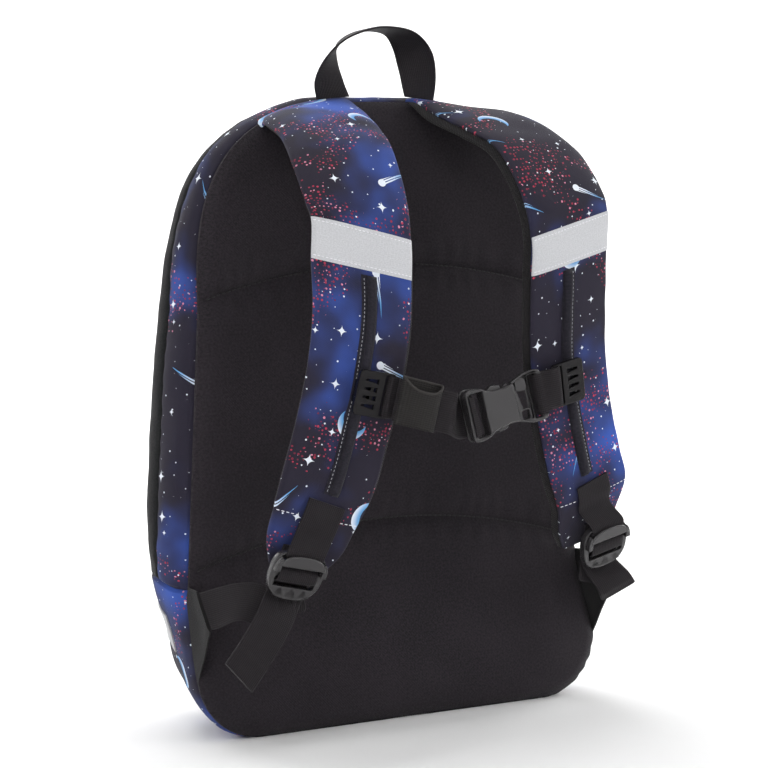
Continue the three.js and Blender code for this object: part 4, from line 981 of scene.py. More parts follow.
PRINT = print_cloth()
PANEL_CLOTH = plain_cloth(
    "black_cloth", dark=(0.0115, 0.0092, 0.0120, 1), light=(0.0300, 0.0245, 0.0300, 1),
    roughness=0.85, pitch=1.0, relief=0.10,
)
PAD_CLOTH = plain_cloth(
    "strap_underside", dark=(0.011, 0.010, 0.011, 1), light=(0.022, 0.020, 0.021, 1),
    roughness=0.85, pitch=1.6, relief=0.22,
)
RAIL_CLOTH = plain_cloth(
    "rail_cloth", dark=(0.012, 0.011, 0.016, 1), light=(0.024, 0.022, 0.032, 1),
    roughness=0.7, pitch=0.8, relief=0.06,
)
# Cloth of the side tabs: a darker copy of the black cloth, painted shade on tabs that face the key light
SHADED_TAB_CLOTH = plain_cloth(
    "tab_cloth_painted_shade", dark=(0.0065, 0.0058, 0.0064, 1), light=(0.0130, 0.0117, 0.0125, 1),
    roughness=0.85, pitch=1.2, relief=0.12,
)
TAPE_CLOTH = plain_cloth(
    "zip_tape", dark=(0.008, 0.008, 0.009, 1), light=(0.016, 0.016, 0.017, 1),
    roughness=0.75, pitch=0.9, relief=0.08,
)
WEBBING = webbing_cloth("webbing", (0.0085, 0.0072, 0.0082, 1), (0.0240, 0.0205, 0.0235, 1))
ELASTIC = webbing_cloth("elastic", (0.013, 0.012, 0.012, 1), (0.028, 0.026, 0.025, 1), rib=1.2, weft=1.8)
# Lighter copy of the elastic for the cord round the keeper's mouth: painted highlight on its folded top edge
RIM_HIGHLIGHT_CLOTH = webbing_cloth("elastic_rim_highlight", (0.030, 0.027, 0.026, 1), (0.050, 0.046, 0.044, 1))
PLASTIC = moulded_plastic("moulded_plastic", (0.027, 0.025, 0.027, 1), 0.6)
BLACK_PLASTIC = moulded_plastic("black_plastic", (0.008, 0.007, 0.008, 1), 0.2)
TAPE = reflective_tape("reflective_tape", (0.48, 0.485, 0.505, 1), (0.60, 0.605, 0.63, 1))
PATCH_TAPE = reflective_tape("patch_tape", (0.32, 0.32, 0.33, 1), (0.40, 0.40, 0.41, 1))
WHITE_THREAD = thread("white_thread", (0.80, 0.80, 0.84, 1))
# Near-black thread of the quilt stitches: painted shade along the quilt grooves
BLACK_THREAD_GROOVE_SHADE = thread("black_thread_groove_shade", (0.004, 0.0035, 0.004, 1))
RAIL_THREAD = thread("rail_thread", (0.42, 0.42, 0.46, 1))


# Bag body
CROSS_WAY = way_to_height(CROSS_SEAM_HEIGHT)
UPPER_WAYS = (CROSS_WAY, OUTLINE_LENGTH - CROSS_WAY)


def strip_relief(depth, way, depths, ways, puff, seed, fade=1.0):
    """Height of the sewn cloth over the plain surface: full in the middle, tucked in at its seams.

    The puff fades over the given way towards both ends of the strip.
    """
    edge = np.minimum(depth - depths[0], depths[1] - depth)
    end = np.minimum(way - ways[0], ways[1] - way)
    fullness = np.sin(math.pi / 2 * np.clip(edge / SEAM_REACH, 0, 1))
    tuck = np.clip(1 - edge / TUCK_REACH, 0, 1) ** 2 + np.clip(1 - end / TUCK_REACH, 0, 1) ** 2
    pucker = puckers(way, depth, SEAM_PUCKER, seed + 1) * np.exp(-edge / SEAM_PUCKER_REACH)
    padding = puff * fullness * smoothstep(end, 0, fade)
    sewn = TUCK_DEPTH * np.minimum(tuck, TUCK_MOST)
    return padding - sewn + pucker + folds(way, depth, STRIP_FOLDS, seed) * fullness


def body_strip(name, depths, ways, material, puff, seed, fade=1.0):
    rows = max(STRIP_LEAST_ROWS, int((depths[1] - depths[0]) / STRIP_STEP))
    columns = int((ways[1] - ways[0]) / STRIP_WAY_STEP)
    fine_depths = crowded(depths[0] + GAP / 2, depths[1] - GAP / 2, rows)
    fine_ways = np.linspace(ways[0] + GAP / 2, ways[1] - GAP / 2, columns)
    depth, way = np.meshgrid(fine_depths, fine_ways, indexing="ij")
    relief = strip_relief(depth, way, depths, ways, puff, seed, fade)
    outer = body_grid(fine_depths, fine_ways, relief)
    inner = body_grid(fine_depths, fine_ways, np.full_like(relief, -CLOTH))
    places = np.stack([way, depth], axis=-1) + seed * np.array(STRIP_PLACE_STEP)
    piece(name, [shell(outer, inner, places)], material)


BACK_DEPTHS, ZIP_DEPTHS, FRONT_DEPTHS = (BACK_SEAM, ZIP_START), (ZIP_START, ZIP_END), (ZIP_END, FRONT_SEAM)
BOTTOM_DEPTHS, BOTTOM_WAYS = (BACK_SEAM, FRONT_SEAM), (-CROSS_WAY, CROSS_WAY)
body_strip("gusset_back_strip", BACK_DEPTHS, UPPER_WAYS, PRINT, GUSSET_PUFF, BACK_DRAW)
body_strip("zip_band", ZIP_DEPTHS, UPPER_WAYS, TAPE_CLOTH, ZIP_PUFF, ZIP_DRAW, ZIP_FADE)
body_strip("gusset_front_strip", FRONT_DEPTHS, UPPER_WAYS, PRINT, FRONT_STRIP_PUFF, FRONT_DRAW)
body_strip("bottom_gusset", BOTTOM_DEPTHS, BOTTOM_WAYS, PRINT, GUSSET_PUFF, BOTTOM_DRAW)


def zip_coil():
    """Nylon coil along the zip band: a row of small rounded teeth on each side."""
    fullness = math.sin(math.pi / 2 * min((ZIP_END - ZIP_COIL) / SEAM_REACH, 1))
    turns = full_turn(4) + math.pi / 4
    parts = []
    for k, way in enumerate(np.arange(UPPER_WAYS[0] + COIL_INSET, UPPER_WAYS[1] - COIL_INSET, COIL_PITCH)):
        side = 1 if k % 2 else -1
        normal = body_normal(ZIP_COIL, way)
        end = min(way - UPPER_WAYS[0], UPPER_WAYS[1] - way)
        puff = ZIP_PUFF * fullness * smoothstep(end, 0, ZIP_FADE)
        centre = body_point(ZIP_COIL + COIL_ASIDE * side, way) + puff * normal
        forward = unit(body_point(ZIP_COIL + 1, way) - body_point(ZIP_COIL - 1, way))
        along = np.cross(normal, forward)
        ring = np.outer(COIL_HALF * np.cos(turns), along) + np.outer(np.sin(turns) - COIL_SINK, normal)
        sections = [centre + forward * row.share * COIL_REACH + row.size * ring for row in COIL_SHAPE]
        parts.append(loft(np.array(sections)))
    build("zip_coil", parts, TAPE_CLOTH, sharp=80)


zip_coil()


def front_panel():
    """Domed front: the seam's outline shrunk in rings towards its middle, on a cone that bulges forward."""
    rim_scales = np.linspace(1, FRONT_RIM_TO, FRONT_RIM_RINGS)
    scales = np.concatenate([rim_scales, np.linspace(FRONT_DOME_FROM, 0.0, FRONT_DOME_RINGS)])
    bulges = np.interp(scales, [row.scale for row in FRONT_ROWS], [row.bulge for row in FRONT_ROWS])
    reach = np.hanning(7)[1:-1]
    smooth = np.convolve(np.pad(bulges, 2, mode="edge"), reach / reach.sum(), mode="valid")
    smooth[0] = 0.0
    ways = np.linspace(0, OUTLINE_LENGTH, FRONT_COLUMNS, endpoint=False)
    rim = body_point(FRONT_SEAM, ways)

    def rings(wall):
        share = scales * (1 - wall / PANEL_ARCH_HALF)
        x = rim[None, :, 0] * share[:, None]
        z = FRONT_MIDDLE_HEIGHT + (rim[None, :, 2] - FRONT_MIDDLE_HEIGHT) * share[:, None]
        cone = FRONT_MIDDLE_DEPTH + (rim[None, :, 1] - FRONT_MIDDLE_DEPTH) * scales[:, None]
        y = cone + (smooth - wall)[:, None]
        if wall == 0:
            y = y + folds(x, z, FRONT_FOLDS) * (1 - scales[:, None] ** 6)
            y[0] += GAP / 2
        return np.stack([x, y, z], axis=-1)

    outer, inner = rings(0.0), rings(CLOTH)
    sections = np.concatenate([inner[-2::-1], outer[:-1]])
    part = loft(sections, sections[..., [0, 2]] + 500)
    piece("front_panel", [part], PRINT)


front_panel()


def panel_row_half_width(heights):
    low, high = np.zeros_like(heights), np.full_like(heights, PANEL_LOW_HALF + 1)
    for _ in range(40):
        x = (low + high) / 2
        wide = panel_half_width(heights - QUILT_ARCH * x * x) > x
        low, high = np.where(wide, x, low), np.where(wide, high, x)
    return low


def panel_depth(share, height, x):
    middle = (PANEL_TOP + PANEL_BOTTOM) / 2
    end = (height - middle) / (PANEL_TOP - middle)
    crown = (1 - np.abs(share) ** PANEL_SIDE_POWER) * (1 - np.abs(end) ** PANEL_END_POWER)
    away = np.min([np.abs(height - quilt) for quilt in QUILT_HEIGHTS], axis=0)
    dent = QUILT_DEPTH * np.exp(-(away / QUILT_SPREAD) ** 2)
    rise = np.maximum(0, PANEL_CROWN - dent) * crown
    near = np.exp(-(away / QUILT_PUCKER_REACH) ** 2) * (away / QUILT_PUCKER_RISE)
    pucker = puckers(x, height, QUILT_PUCKER, QUILT_DRAW) * near
    groove = GROOVE_DEPTH * np.exp(-(away / GROOVE_REACH) ** 2)
    relief = pucker + folds(x, height, PANEL_FOLDS) - groove
    relief = relief * np.clip(crown * PANEL_RELIEF_GAIN, 0, 1)
    return SEAM_DEPTH - GAP - PANEL_EDGE - rise - relief


def panel_edge_share(x, z):
    """Share of the padding's height near the outline: none at the seam, all of it further in."""
    ways = np.linspace(0, OUTLINE_LENGTH, 700, endpoint=False)
    points = outline_at(ways)
    away = np.full(x.shape, np.inf)
    for point in points:
        away = np.minimum(away, np.hypot(x - point[0], z - point[1]))
    inside = np.clip(1 - away / PANEL_ROUNDING, 0, 1)
    return np.sqrt(np.clip(1 - inside ** 2, 0, 1))


def back_panel():
    heights = crowded(PANEL_BOTTOM + PANEL_TRIM, PANEL_TOP - PANEL_TRIM, 230)
    shares = crowded(-1, 1, 120)
    share, height = np.meshgrid(shares, heights, indexing="ij")
    x = share * panel_row_half_width(height)
    z = height - QUILT_ARCH * x * x
    seam = SEAM_DEPTH - GAP
    depth = seam - PANEL_HEM + (panel_depth(share, height, x) - seam + PANEL_HEM) * panel_edge_share(x, z)
    face = np.stack([x + lean_at(z), depth, z], axis=-1)
    back = np.stack([x + lean_at(z), np.full_like(x, seam), z], axis=-1)
    panel = piece("back_panel", [shell(face, back, face[..., [0, 2]])], PANEL_CLOTH)


back_panel()


def quilt_stitches_groove_shade():
    # Near-continuous near-black stitches along each groove: stitching and painted groove shade
    parts = []
    for quilt in QUILT_HEIGHTS:
        half = float(panel_row_half_width(np.array([quilt]))[0])
        x = np.linspace(QUILT_STITCH_INSET - half, half - QUILT_STITCH_INSET, 120)
        height = np.full_like(x, quilt)
        depth = panel_depth(x / half, height, x)
        path = np.stack([x, depth - QUILT_STITCH_OUT, height - QUILT_ARCH * x * x], axis=-1)
        normals = np.broadcast_to(np.array([0.0, -1.0, 0.0]), path.shape)
        parts += stitch_row(path, normals, QUILT_STITCH)
    build("quilt_stitches_groove_shade", parts, BLACK_THREAD_GROOVE_SHADE)


quilt_stitches_groove_shade()


def side_patch(side):
    """Light patch on the bottom gusset; side is 1 on the right and -1 on the left."""
    ways = np.linspace(side * way_to_height(PATCH_LOW), side * way_to_height(PATCH_HIGH), 20)
    depths = np.linspace(PATCH_BACK, PATCH_FRONT, 20)
    depth, way = np.meshgrid(depths, ways, indexing="ij")
    relief = strip_relief(depth, way, BOTTOM_DEPTHS, BOTTOM_WAYS, GUSSET_PUFF, BOTTOM_DRAW)
    outer = body_grid(depths, ways, relief + PATCH_LIFT)
    inner = body_grid(depths, ways, relief - PATCH_SINK)
    return shell(outer, inner, np.stack([depth, way], axis=-1))


def pair(name, parts, material, sharp=40.0, stands_for=True):
    """A right piece and its mirror image."""
    made = []
    for side, shown in (("right", parts), ("left", [mirrored(part) for part in parts])):
        label = f"{name}_{side}"
        made.append(build(label, shown, material, [label] if stands_for else [], sharp))
    return made


piece("side_reflector_right", [side_patch(1)], PATCH_TAPE)
piece("side_reflector_left", [side_patch(-1)], PATCH_TAPE)


# Shoulder straps
def cover_lift(share):
    """The cover turns down over the pad at its edges."""
    outer = np.clip(1 - (1 - share) / COVER_OUTER_TURN, 0, 1)
    inner = np.clip(1 - (share - COVER_INNER_EDGE) / COVER_INNER_TURN, 0, 1)
    return -COVER_OUTER_DROP * outer ** 2 - COVER_INNER_DROP * inner ** 2


def strap_wrinkle(row, share):
    places = strap_places(row, share)
    return folds(places[..., 0], places[..., 1], STRAP_FOLDS) * np.clip(row - STRAP_FLAT_TO, 0, 1)


def strap_path(rows, shares, lift):
    """Points at a height over the strap's cover, with the strap's normals there."""
    normal = strap_normal(rows, shares)
    height = cover_lift(shares) + strap_wrinkle(rows, shares) + lift
    return strap_face(rows, shares) + normal * height[..., None], normal


def strap_layer(rows, shares, lift, thickness):
    row, share = np.meshgrid(rows, shares, indexing="ij")
    outer, normal = strap_path(row, share, lift)
    inner = outer - normal * thickness
    return shell(outer, inner, strap_places(row, share))


def shifted(part, places):
    return part._replace(places=part.places + np.array(places))


cover = strap_layer(np.linspace(0, STRAP_LAST, 190), crowded(COVER_INNER_EDGE, 1, 44), 0.0, COVER)
piece("strap_cover_right", [shifted(cover, COVER_PLACE_RIGHT)], PRINT)
piece("strap_cover_left", [mirrored(shifted(cover, COVER_PLACE_LEFT))], PRINT)


def strap_pad():
    sides = 44
    rows = np.linspace(STRAP_PAD_START, STRAP_LAST, 150)
    turns = full_turn(sides) + math.pi / sides
    row, turn = np.meshgrid(rows, turns, indexing="ij")
    share = eased(np.cos(turn), 0.5)
    height = eased(np.sin(turn), 0.7)
    pad = np.interp(row, ROW_NUMBERS, STRAP_PAD)
    half = pad / 2 * (1 - 0.3 * share ** 4)
    middle = -(COVER + GAP) - pad / 2 + 0.5 * np.abs(share) ** 6
    points = strap_face(row, share) + strap_normal(row, share) * (middle + height * half)[..., None]
    return loft(points, strap_places(row, share))


for made in pair("shoulder_strap", [strap_pad()], PAD_CLOTH):
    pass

reflector_rows = np.linspace(REFLECTOR_FROM, REFLECTOR_TO, 16)
reflector_shares = crowded(COVER_INNER_EDGE, 1, 40)
reflector = strap_layer(reflector_rows, reflector_shares, REFLECTOR_LIFT, REFLECTOR_THICKNESS)
pair("strap_reflector", [reflector], TAPE)


def reflector_stitches():
    parts = []
    shares = np.linspace(COVER_INNER_EDGE + 0.02, 0.98, 50)
    for row in (REFLECTOR_FROM + REFLECTOR_SEAM, REFLECTOR_TO - REFLECTOR_SEAM):
        path, normals = strap_path(np.full_like(shares, row), shares, REFLECTOR_SEAM_LIFT)
        parts += stitch_row(path, normals, BAND_STITCH)
    return parts


pair("reflector_stitches", reflector_stitches(), WHITE_THREAD, stands_for=False)


def rail_height(aside):
    return FLANGE_HEIGHT + CORD_HEIGHT * np.sqrt(np.clip(1 - (aside / CORD_HALF) ** 2, 0, 1))


CORD_ASIDES = -CORD_HALF * np.cos(np.linspace(0, math.pi, 17))
RAIL_ASIDES = np.concatenate([FLANGE_INNER, CORD_ASIDES, FLANGE_OUTER])


def strap_rail():
    rows = np.linspace(RAIL_FROM, RAIL_TO, 70)
    row, aside = np.meshgrid(rows, RAIL_ASIDES, indexing="ij")
    share = RAIL_ACROSS + aside / strap_half_width(row)
    normal = strap_normal(row, np.full_like(share, RAIL_ACROSS))
    base = strap_face(row, share) + normal * strap_wrinkle(row, share)[..., None]
    closing = np.sqrt(np.clip(np.minimum(row - RAIL_FROM, RAIL_TO - row) / RAIL_CLOSING, 0, 1))
    closing = RAIL_END_SHARE + (1 - RAIL_END_SHARE) * closing
    height = RAIL_END_HEIGHT + (rail_height(aside) - RAIL_END_HEIGHT) * closing
    outer = base + normal * height[..., None]
    inner = base - normal * RAIL_SINK
    return shell(outer, inner, strap_places(row, share) + np.array([RAIL_PLACE, 0.0]))


pair("strap_rail", [strap_rail()], RAIL_CLOTH)


def rail_stitches():
    rows = np.linspace(RAIL_FROM + RAIL_SEAM_INSET, RAIL_TO - RAIL_SEAM_INSET, 120)
    shares = RAIL_ACROSS + FLANGE_STITCH / strap_half_width(rows)
    path, normals = strap_path(rows, shares, RAIL_SEAM_LIFT)
    return stitch_row(path, normals, RAIL_STITCH)


def end_seam_stitches():
    """Pale seam across the strap above its pointed end, on both sides of the webbing."""
    parts = []
    for low, high in ((COVER_INNER_EDGE + 0.03, -END_SEAM_GAP), (END_SEAM_GAP, 0.97)):
        shares = np.linspace(low, high, 30)
        path, normals = strap_path(END_SEAM_ROW + END_SEAM_SLANT * shares, shares, END_SEAM_LIFT)
        parts += stitch_row(path, normals, END_STITCH)
    return parts


pair("rail_stitches", rail_stitches(), RAIL_THREAD, stands_for=False)
pair("end_seam_stitches", end_seam_stitches(), WHITE_THREAD, stands_for=False)


# Webbing
lock_axes = axes_of(LOCK_CENTRE, LOCK_ALONG, LOCK_ACROSS)


def end_webbing():
    lift = 4 * GAP + WEBBING_THICKNESS / 2
    stations = []
    for row in END_WEBBING_ROWS:
        axes = strap_axes(row, 0.0)
        stations.append(Station(in_axes(axes, 0, 0, lift), axes.across))
    for row in TOP_BAR_LOOP:
        stations.append(Station(in_axes(lock_axes, 0, row.along, row.normal), lock_axes.across))
    return ribbon(stations)


pair("strap_end_webbing", [end_webbing()], WEBBING)


def lower_webbing(tail, hem):
    top, bottom = np.array(TAB_FREE_TOP, dtype=float), np.array(TAB_FREE_BOTTOM, dtype=float)
    start = (top + bottom) / 2 + np.array(TAB_CLEARANCE_WAY) * TAB_CLEARANCE
    stations = [Station(start, top - bottom), *WEBBING_TO_LOCK]
    for row in MIDDLE_BAR_LOOP:
        stations.append(Station(in_axes(lock_axes, 0, row.along, row.normal), -lock_axes.across))
    return ribbon(stations + tail, hem)


piece("lower_webbing_right", [lower_webbing(RIGHT_TAIL, RIGHT_HEM)], WEBBING)
piece("lower_webbing_left", [mirrored(lower_webbing(LEFT_TAIL, LEFT_HEM))], WEBBING)


def side_tab(side):
    """Folded triangle on the right side; side is -1 for the one whose mirror image goes on the left."""
    low, high = np.array([TAB_FREE_BOTTOM, TAB_FREE_TOP], dtype=float)
    out, up = np.meshgrid(np.linspace(0, 1, 24), np.linspace(0, 1, 30), indexing="ij")
    z = TAB_BASE_BOTTOM + (TAB_BASE_TOP - TAB_BASE_BOTTOM) * up
    x = panel_half_width(z) + side * lean_at(z) + TAB_BASE_OUT - TAB_TUCK
    near = np.stack([x, np.full_like(z, TAB_BASE_DEPTH), z], axis=-1)
    far = low + (high - low) * up[..., None]
    middle = near + (far - near) * out[..., None]
    normal = grid_normals(middle)
    bulge = TAB_BULGE * np.sin(math.pi * out) * np.sin(math.pi * up)
    bulge = bulge + folds(out * TAB_FOLD_LENGTH, up * TAB_HEIGHT, TAB_FOLDS)
    half = TAB_THICKNESS / 2 * np.clip(8 * np.minimum(up, 1 - up), 0.25, 1) ** 0.5
    outer = middle + normal * (bulge + half)[..., None]
    inner = middle + normal * (bulge - half)[..., None]
    return shell(outer, inner, np.stack([out * TAB_LENGTH, up * TAB_HEIGHT], axis=-1))


# The side tabs take the darker cloth with painted shade
piece("side_tab_right", [side_tab(1)], SHADED_TAB_CLOTH)
piece("side_tab_left", [mirrored(side_tab(-1))], SHADED_TAB_CLOTH)


def grab_handle():
    stations = []
    for row in HANDLE_ROWS:
        turn = math.radians(row.turn)
        across = (math.cos(turn), math.sin(turn), HANDLE_SLOPE * math.cos(turn) ** 2)
        stations.append(Station((row.x, HANDLE_DEPTH, row.z), across))
    return ribbon(stations)


piece("grab_handle", [grab_handle()], WEBBING)


# Moulded pieces are drawn across, up and out of their axes
def placed(part, axes):
    across, up, out = (part.points[:, k:k + 1] for k in range(3))
    return part._replace(points=axes.origin + across * axes.across - up * axes.along + out * axes.normal)


def lock_outline(shrink=0.0, low=-99.0, steps=72):
    """Outline between an ellipse and a box, wider towards its top end, cut off below a height."""
    corners = []
    for turn in full_turn(steps):
        up = math.sin(turn)
        width = (LOCK_HALF_WIDTH - shrink) * (1 + LOCK_TAPER * up)
        x = float(eased(math.cos(turn), LOCK_POWER)) * width
        y = float(eased(up, LOCK_POWER)) * (LOCK_HALF_LENGTH - shrink)
        if y > low:
            corners.append((x, y))
    if low > -LOCK_HALF_LENGTH:
        edge = max(abs(x) for x, y in corners)
        start = next(k for k, (x, y) in enumerate(corners) if x > 0)
        corners = [(edge, low)] + corners[start:] + corners[:start] + [(-edge, low)]
    return corners


def ladder_lock():
    half = LOCK_THICKNESS / 2
    holes = [box_outline(-LOCK_SLOT_HALF, -to, LOCK_SLOT_HALF, -start) for start, to in LOCK_SLOTS]
    turns = [math.radians(90 + 120 * k) for k in range(3)]
    for row in LOCK_GRIPS:
        holes.append([
            (row.x + row.size * math.cos(t), LOCK_GRIP_HEIGHT + row.size * math.sin(t)) for t in turns
        ])
    hood = lock_outline(LOCK_HOOD_SHRINK, -LOCK_HOOD_TO)
    parts = [plate(lock_outline(), holes, -half, half, bevel=0.55)]
    parts.append(plate(hood, [], LOCK_HOOD_LOW, LOCK_HOOD_HIGH, bevel=0.9))
    rim = [(x, y) for x, y in lock_outline(LOCK_SKIRT_SHRINK) if LOCK_SKIRT_LOW < y < LOCK_SKIRT_HIGH]
    low, high = half - LOCK_SKIRT_SINK, LOCK_HOOD_HIGH - LOCK_SKIRT_BELOW
    for side in (-1, 1):
        skirt = sorted([(x, y) for x, y in rim if x * side > LOCK_SKIRT_INNER], key=lambda corner: corner[1])
        inner = [(side * LOCK_SKIRT_INNER, y) for y in (skirt[-1][1], skirt[0][1])]
        parts.append(plate(skirt + inner, [], low, high, bevel=0.5))
    return [placed(part, lock_axes) for part in parts]


pair("ladder_lock", ladder_lock(), PLASTIC)

slider_axes = strap_axes(SLIDER_ROW, RAIL_ACROSS)


def sternum_slider():
    half_length, half_slot = SLIDER_LENGTH / 2, SLIDER_SLOT_LENGTH / 2 - 1
    holes = [box_outline(SLIDER_SLOT_FROM, -half_slot, SLIDER_SLOT_TO, half_slot)]
    near, far = SLIDER_TEETH_FROM, SLIDER_TEETH_TO
    for y in SLIDER_TEETH:
        root = [(near, y - TOOTH_HALF), (near, y + TOOTH_HALF)]
        tip = [(far, y + TOOTH_TIP_LOW), (far, y + TOOTH_TIP_HIGH)]
        holes.append([root[0], *tip, root[1]])
    outline = box_outline(SLIDER_INNER, -half_length, SLIDER_OUTER, half_length, SLIDER_CORNER)
    parts = [plate(outline, holes, SLIDER_LOW, SLIDER_HIGH, bevel=0.6)]
    for low, high in ((-CLAW_TO, -CLAW_FROM), (CLAW_FROM, CLAW_TO)):
        claw = box_outline(low, -half_length / 2, high, half_length / 2, radius=0.5)
        parts.append(plate(claw, [], CLAW_FOOT, SLIDER_LOW + 1, bevel=0.3))
    return [placed(part, slider_axes) for part in parts]


pair("sternum_slider", sternum_slider(), BLACK_PLASTIC)

buckle_axes = axes_of(BUCKLE_START, np.array(BUCKLE_END) - np.array(BUCKLE_START), (0, 0, -1))


def on_buckle(part):
    """Moves a piece that is drawn along, across and out of the buckle."""
    along, across, out = (part.points[:, k:k + 1] for k in range(3))
    points = buckle_axes.origin + along * buckle_axes.along + across * buckle_axes.across
    return part._replace(points=points + out * buckle_axes.normal)


def both_sides(rows):
    """Closed outline from its rows on one side of the length axis."""
    return [(row.along, -row.out) for row in rows] + [(row.along, row.out) for row in rows[::-1]]


def buckle_female():
    half = BUCKLE_THICKNESS / 2
    outline = both_sides(FEMALE_OUTLINE)
    window = box_outline(FEMALE_BAR, -BUCKLE_WINDOW_HALF, FEMALE_WINDOW_END, BUCKLE_WINDOW_HALF)
    parts = [plate(outline, [window], FEMALE_PLATE_LOW, half, bevel=1.0)]
    parts.append(plate(outline, [window], -half, -FEMALE_PLATE_LOW, bevel=1.0))
    parts.append(plate(both_sides(FEMALE_CORE), [window], -FEMALE_CORE_HALF, FEMALE_CORE_HALF, bevel=0.3))
    for wall in side_boxes(FEMALE_WALL_FROM, FEMALE_WALL_TO, FEMALE_WALL_INNER, FEMALE_WALL_OUTER):
        parts.append(plate(wall, [], -FEMALE_CORE_HALF, FEMALE_CORE_HALF, bevel=0.3))
    return [on_buckle(part) for part in parts]


def buckle_male():
    half = MALE_THICKNESS / 2
    holes = [box_outline(MALE_WINDOW[0], -BUCKLE_WINDOW_HALF, MALE_WINDOW[1], BUCKLE_WINDOW_HALF)]
    holes += side_boxes(MALE_GAP_FROM, MALE_GAP_TO, MALE_GAP_INNER, MALE_GAP_OUTER, radius=1.2)
    parts = [plate(both_sides(MALE_OUTLINE), holes, -half, half, bevel=0.9)]
    for side in (-1, 1):
        parts.append(plate([(row.along, side * row.out) for row in MALE_ARM], [], -half, half, bevel=0.6))
    tongue = box_outline(TONGUE_FROM, -TONGUE_HALF, MALE_ROOT, TONGUE_HALF, radius=1.0)
    parts.append(plate(tongue, [], 0.4 - half, half - 0.4, bevel=0.4))
    return [on_buckle(part) for part in parts]


piece("buckle_female", buckle_female(), PLASTIC)
piece("buckle_male", buckle_male(), PLASTIC)


def slider_loop(side):
    rows = table(LoopRow, [
        (SLIDER_BAR + 1, SLIDER_LOW - LOOP_OVER),
        (SLIDER_SLOT_FROM + 2 * LOOP_EASE, SLIDER_LOW - LOOP_OVER + LOOP_EASE),
        (SLIDER_SLOT_FROM + LOOP_ROUND, (SLIDER_LOW + SLIDER_HIGH) / 2),
        (SLIDER_SLOT_FROM + LOOP_EASE, SLIDER_HIGH + LOOP_OVER),
        (SLIDER_BAR - 2.5, SLIDER_HIGH + LOOP_OVER + 0.1),
    ])
    flip = np.array([side, 1, 1])
    width = -slider_axes.along * flip
    return [Station(in_axes(slider_axes, row.along, 0, row.normal) * flip, width) for row in rows]


def buckle_loop(bar_from, bar_to, height, side):
    half, middle = (bar_to - bar_from) / 2, (bar_from + bar_to) / 2
    over = height + LOOP_OVER
    rows = table(LoopRow, [
        (middle - side * (half + 3), over),
        (middle + side * (half + 0.8), over - LOOP_EASE),
        (middle + side * (half + LOOP_ROUND), 0),
        (middle + side * (half + 0.8), LOOP_EASE - over),
        (middle - side * (half - 1), -over),
    ])
    return [Station(in_axes(buckle_axes, 0, row.along, row.normal), -buckle_axes.across) for row in rows]


sternum_span = np.array(STERNUM_END, dtype=float) - np.array(STERNUM_START, dtype=float)
SPAN_LENGTH = float(np.linalg.norm(sternum_span))
sternum_axes = axes_of(STERNUM_START, sternum_span, (0, 0, -1))
span_points = [in_axes(sternum_axes, 0, share * SPAN_LENGTH, 0) for share in STERNUM_SHARES]
span_stations = [Station(point, -sternum_axes.across) for point in span_points]
female_loop = buckle_loop(0, FEMALE_BAR, BUCKLE_THICKNESS / 2, 1)
male_loop = buckle_loop(MALE_WINDOW[1], MALE_END, MALE_THICKNESS / 2, -1)[::-1]
left_band = ribbon(slider_loop(-1) + span_stations + female_loop)
right_band = ribbon(male_loop + slider_loop(1)[::-1])
piece("sternum_webbing_left", [left_band], WEBBING)
piece("sternum_webbing_right", [right_band], WEBBING)


def keeper():
    """Elastic loop on the webbing's face; its front dips at the top, so that it stands open there.

    Gives the loop with its wall, and the line round its mouth.
    """
    low, high = KEEPER_FROM * SPAN_LENGTH, KEEPER_TO * SPAN_LENGTH
    centre = (low + high) / 2
    turns = full_turn(48)
    share, turn = np.meshgrid(np.linspace(0, 1, 16), turns, indexing="ij")
    along = centre + (high - low) / 2 * eased(np.cos(turn), 0.8)
    swell = np.clip(np.sin(turn), 0, 1)
    top = KEEPER_HEIGHT / 2 - KEEPER_DIP * swell ** 1.5
    up = -KEEPER_HEIGHT / 2 + (top + KEEPER_HEIGHT / 2) * share
    front = KEEPER_BULGE * swell ** 0.8 * (0.6 + 0.4 * share)
    back = KEEPER_SINK * np.clip(-np.sin(turn), 0, 1) ** 0.5

    def layer(grow):
        way = centre + (along - centre) * (1 + grow / (high - low))
        out = KEEPER_REST + front - back + grow / 2 * np.sign(np.sin(turn))
        point = sternum_axes.origin + sternum_axes.along * way[..., None]
        return point - sternum_axes.across * up[..., None] - sternum_axes.normal * out[..., None]

    walls = np.concatenate([layer(KEEPER_THICKNESS / 2), layer(-KEEPER_THICKNESS / 2)[::-1]])
    places = np.stack([up, along], axis=-1)
    flat = np.concatenate([places, places[::-1]]).reshape(-1, 2)
    return Part(walls.reshape(-1, 3), round_faces(*walls.shape[:2]), flat), layer(0.0)[-1]


def closed_tube(path, radius, sides=8):
    """Round cord along a path that comes back to its start."""
    along = unit(np.roll(path, -1, axis=0) - np.roll(path, 1, axis=0))
    normal = unit(np.cross(along, sternum_axes.across))
    binormal = np.cross(along, normal)
    rows = [path + radius * (normal * math.cos(t) + binormal * math.sin(t)) for t in full_turn(sides)]
    points = np.concatenate(rows)
    return Part(points, round_faces(sides, len(path)), np.zeros((len(points), 2)))


keeper_loop, keeper_mouth = keeper()
piece("sternum_keeper", [keeper_loop], ELASTIC)
# Cord round the keeper's mouth, lighter than the elastic: a rim with a painted highlight on the folded edge
build("keeper_rim_highlight", [closed_tube(keeper_mouth, KEEPER_RIM)], RIM_HIGHLIGHT_CLOTH)


